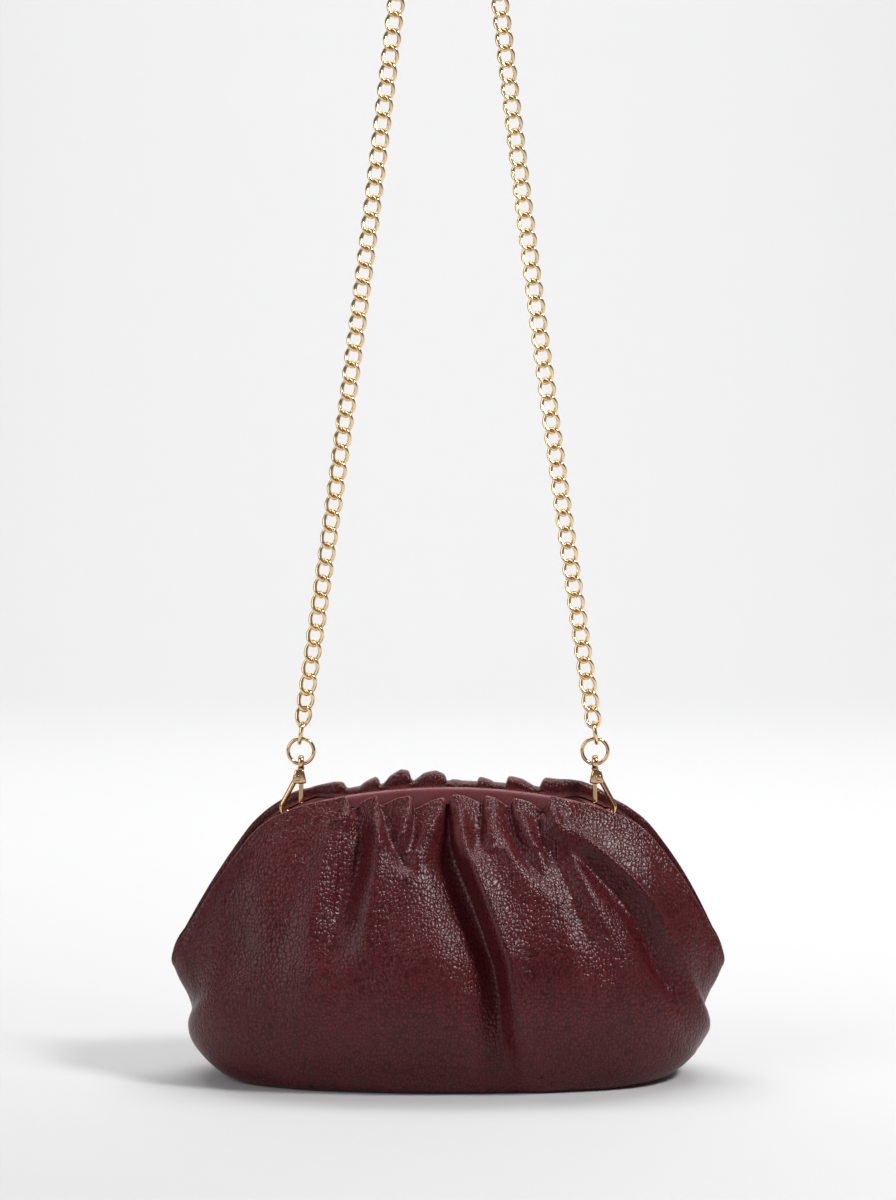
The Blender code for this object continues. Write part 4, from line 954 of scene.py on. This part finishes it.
def build_loop(label, where, gold):
    """The wire loop that holds a hook, with its plate on the back cover."""
    x = where * ANCHOR_X
    line = frame_line(200)
    share = np.interp(x, line[:, 0], np.linspace(-1, 1, 201))
    face_y = float(bow(share)) - GAP * 3
    back_y = face_y - PLATE_THICKNESS / 2
    plate_z = ANCHOR_Z - LOOP_HEIGHT / 2
    half = LOOP_HEIGHT / 2
    points = [(x, back_y, ANCHOR_Z)]
    points += [(x, -LOOP_REACH + half * 0.5 * (math.cos(a) + 1), plate_z + half * math.sin(a))
               for a in np.linspace(math.pi / 2, math.pi * 1.5, 28)]
    points.append((x, back_y, ANCHOR_Z - LOOP_HEIGHT))
    wire = tube_mesh("wire", points, (1, 0, 0), LOOP_WIRE, LOOP_WIRE, LOOP_SIDES)
    plate = block_mesh("plate", [(x, plate_z + way * PLATE_HEIGHT / 2, PLATE_WIDTH / 2,
                                  PLATE_THICKNESS / 2) for way in (-1, 1)], square=0.3)
    for vertex in plate.vertices:
        vertex.co.y += back_y
    hardware(f"loop_{label}", joined("loop", wire, plate), gold, f"strap_loop_{label}", "body")


def build_rings(gold):
    """The O-rings, each with its hook and its wire loop."""
    _, ring_bottom, eye_x, _ = strap_places()
    turn = around(RING_STEPS)
    for label, where in (("left", -1), ("right", 1)):
        points = np.stack([where * eye_x + RING_RADIUS * np.cos(turn), 0 * turn,
                           ring_bottom + RING_RADIUS + RING_RADIUS * np.sin(turn)], 1)
        ring = tube_mesh("ring", points, (0, 1, 0), RING_WIRE, RING_WIRE, closed=True)
        hardware(f"ring_{label}", ring, gold, f"o_ring_{label}", "strap")
        build_hook(label, where, gold)
        build_loop(label, where, gold)


def finish_cad(name, look, bevel=0.0):
    """A CAD node that stays, with a better material and softer edges."""
    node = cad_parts[name]
    node.data.materials.clear()
    node.data.materials.append(look)
    if bevel:
        soften = node.modifiers.new("soften", "BEVEL")
        soften.width = bevel
        soften.segments = 2
        soften.limit_method = "ANGLE"
        soften.angle_limit = math.radians(40)


def aim(thing, place, target):
    """Puts a lamp or a camera in its place and turns it to its target."""
    thing.location = place
    ahead = Vector(target) - Vector(place)
    thing.rotation_euler = ahead.to_track_quat("-Z", "Y").to_euler()


def build_stage():
    """A pale floor that curves up into a backdrop, and a soft studio light."""
    floor = plain_material("pale_floor", (0.62, 0.62, 0.622), 0.9)
    width, near, far, height, radius = 6.0, -3.0, 3.0, 4.0, 1.2
    profile = [(near, 0.0), (far - radius, 0.0)]
    profile += [(far - radius + radius * math.sin(a), radius - radius * math.cos(a))
                for a in np.linspace(0.1, math.pi / 2, 14)]
    profile.append((far, height))
    points = [(x, y, z) for y, z in profile for x in (-width, width)]
    faces = [(2 * i, 2 * i + 1, 2 * i + 3, 2 * i + 2) for i in range(len(profile) - 1)]
    mesh = bpy.data.meshes.new("backdrop")
    mesh.from_pydata(points, [], faces)
    mesh.shade_smooth()
    add("backdrop", mesh, floor)
    for name, place, target, wide, high, power in LIGHTS:
        light = bpy.data.lights.new(name, "AREA")
        light.shape = "RECTANGLE"
        light.size, light.size_y = wide, high
        light.energy = power
        lamp = add(name, light)
        aim(lamp, place, target)
    world = bpy.data.worlds.new("studio")
    bpy.context.scene.world = world
    world.use_nodes = True
    world.node_tree.nodes["Background"].inputs["Color"].default_value = (1, 1, 1, 1)
    world.node_tree.nodes["Background"].inputs["Strength"].default_value = WORLD_LIGHT


def build_camera():
    """The camera that sees what the photo shows."""
    camera = bpy.data.cameras.new("camera")
    camera.sensor_fit = "VERTICAL"
    camera.angle_y = 2 * math.atan(VIEW_HEIGHT / 2 / VIEW_DISTANCE)
    holder = add("camera", camera)
    aim(holder, CAMERA_PLACE, CAMERA_TARGET)
    bpy.context.scene.camera = holder
    bpy.context.scene.view_settings.view_transform = "Standard"


def main():
    """Builds the looks, the pieces and the studio."""
    gold = gold_material("polished_gold", (0.93, 0.70, 0.40))
    # A darker, redder copy of the gold for the hooks, rings, loops and rivets: partly their own
    # rose tone, partly painted shade for the dark reflections on them
    deep_gold_and_shade = gold_material("deep_gold_and_shade", (0.74, 0.49, 0.27))
    burgundy = leather_material("pebbled_burgundy", (0.026, 0.0025, 0.0035),
                                (0.098, 0.0127, 0.0152))
    smooth = leather_material("smooth_burgundy", (0.15, 0.040, 0.044), (0.20, 0.056, 0.061),
                              grain=900.0, depth=0.00004)
    cut_edge = plain_material("cut_edge", (0.19, 0.075, 0.07), 0.6)
    build_leather((burgundy, cut_edge))
    build_covers(smooth)
    build_chain(gold)
    build_rings(deep_gold_and_shade)
    lining = plain_material("lining_cloth", (0.10, 0.035, 0.038), 0.85)
    steel = plain_material("plated_steel", (0.36, 0.35, 0.34), 0.42, 1.0)
    board = plain_material("stiff_board", (0.09, 0.08, 0.07), 0.85)
    build_linings(lining)
    finish_cad("slip_pocket", lining)
    for name in ("front_frame_bar", "back_frame_bar"):
        finish_cad(name, steel)
    finish_cad("base_board", board)
    for label in ("left", "right"):
        for piece in ("hinge_rivet", "front_magnet", "back_magnet"):
            finish_cad(f"{piece}_{label}", deep_gold_and_shade, 0.00025)
    build_stage()
    build_camera()


main()
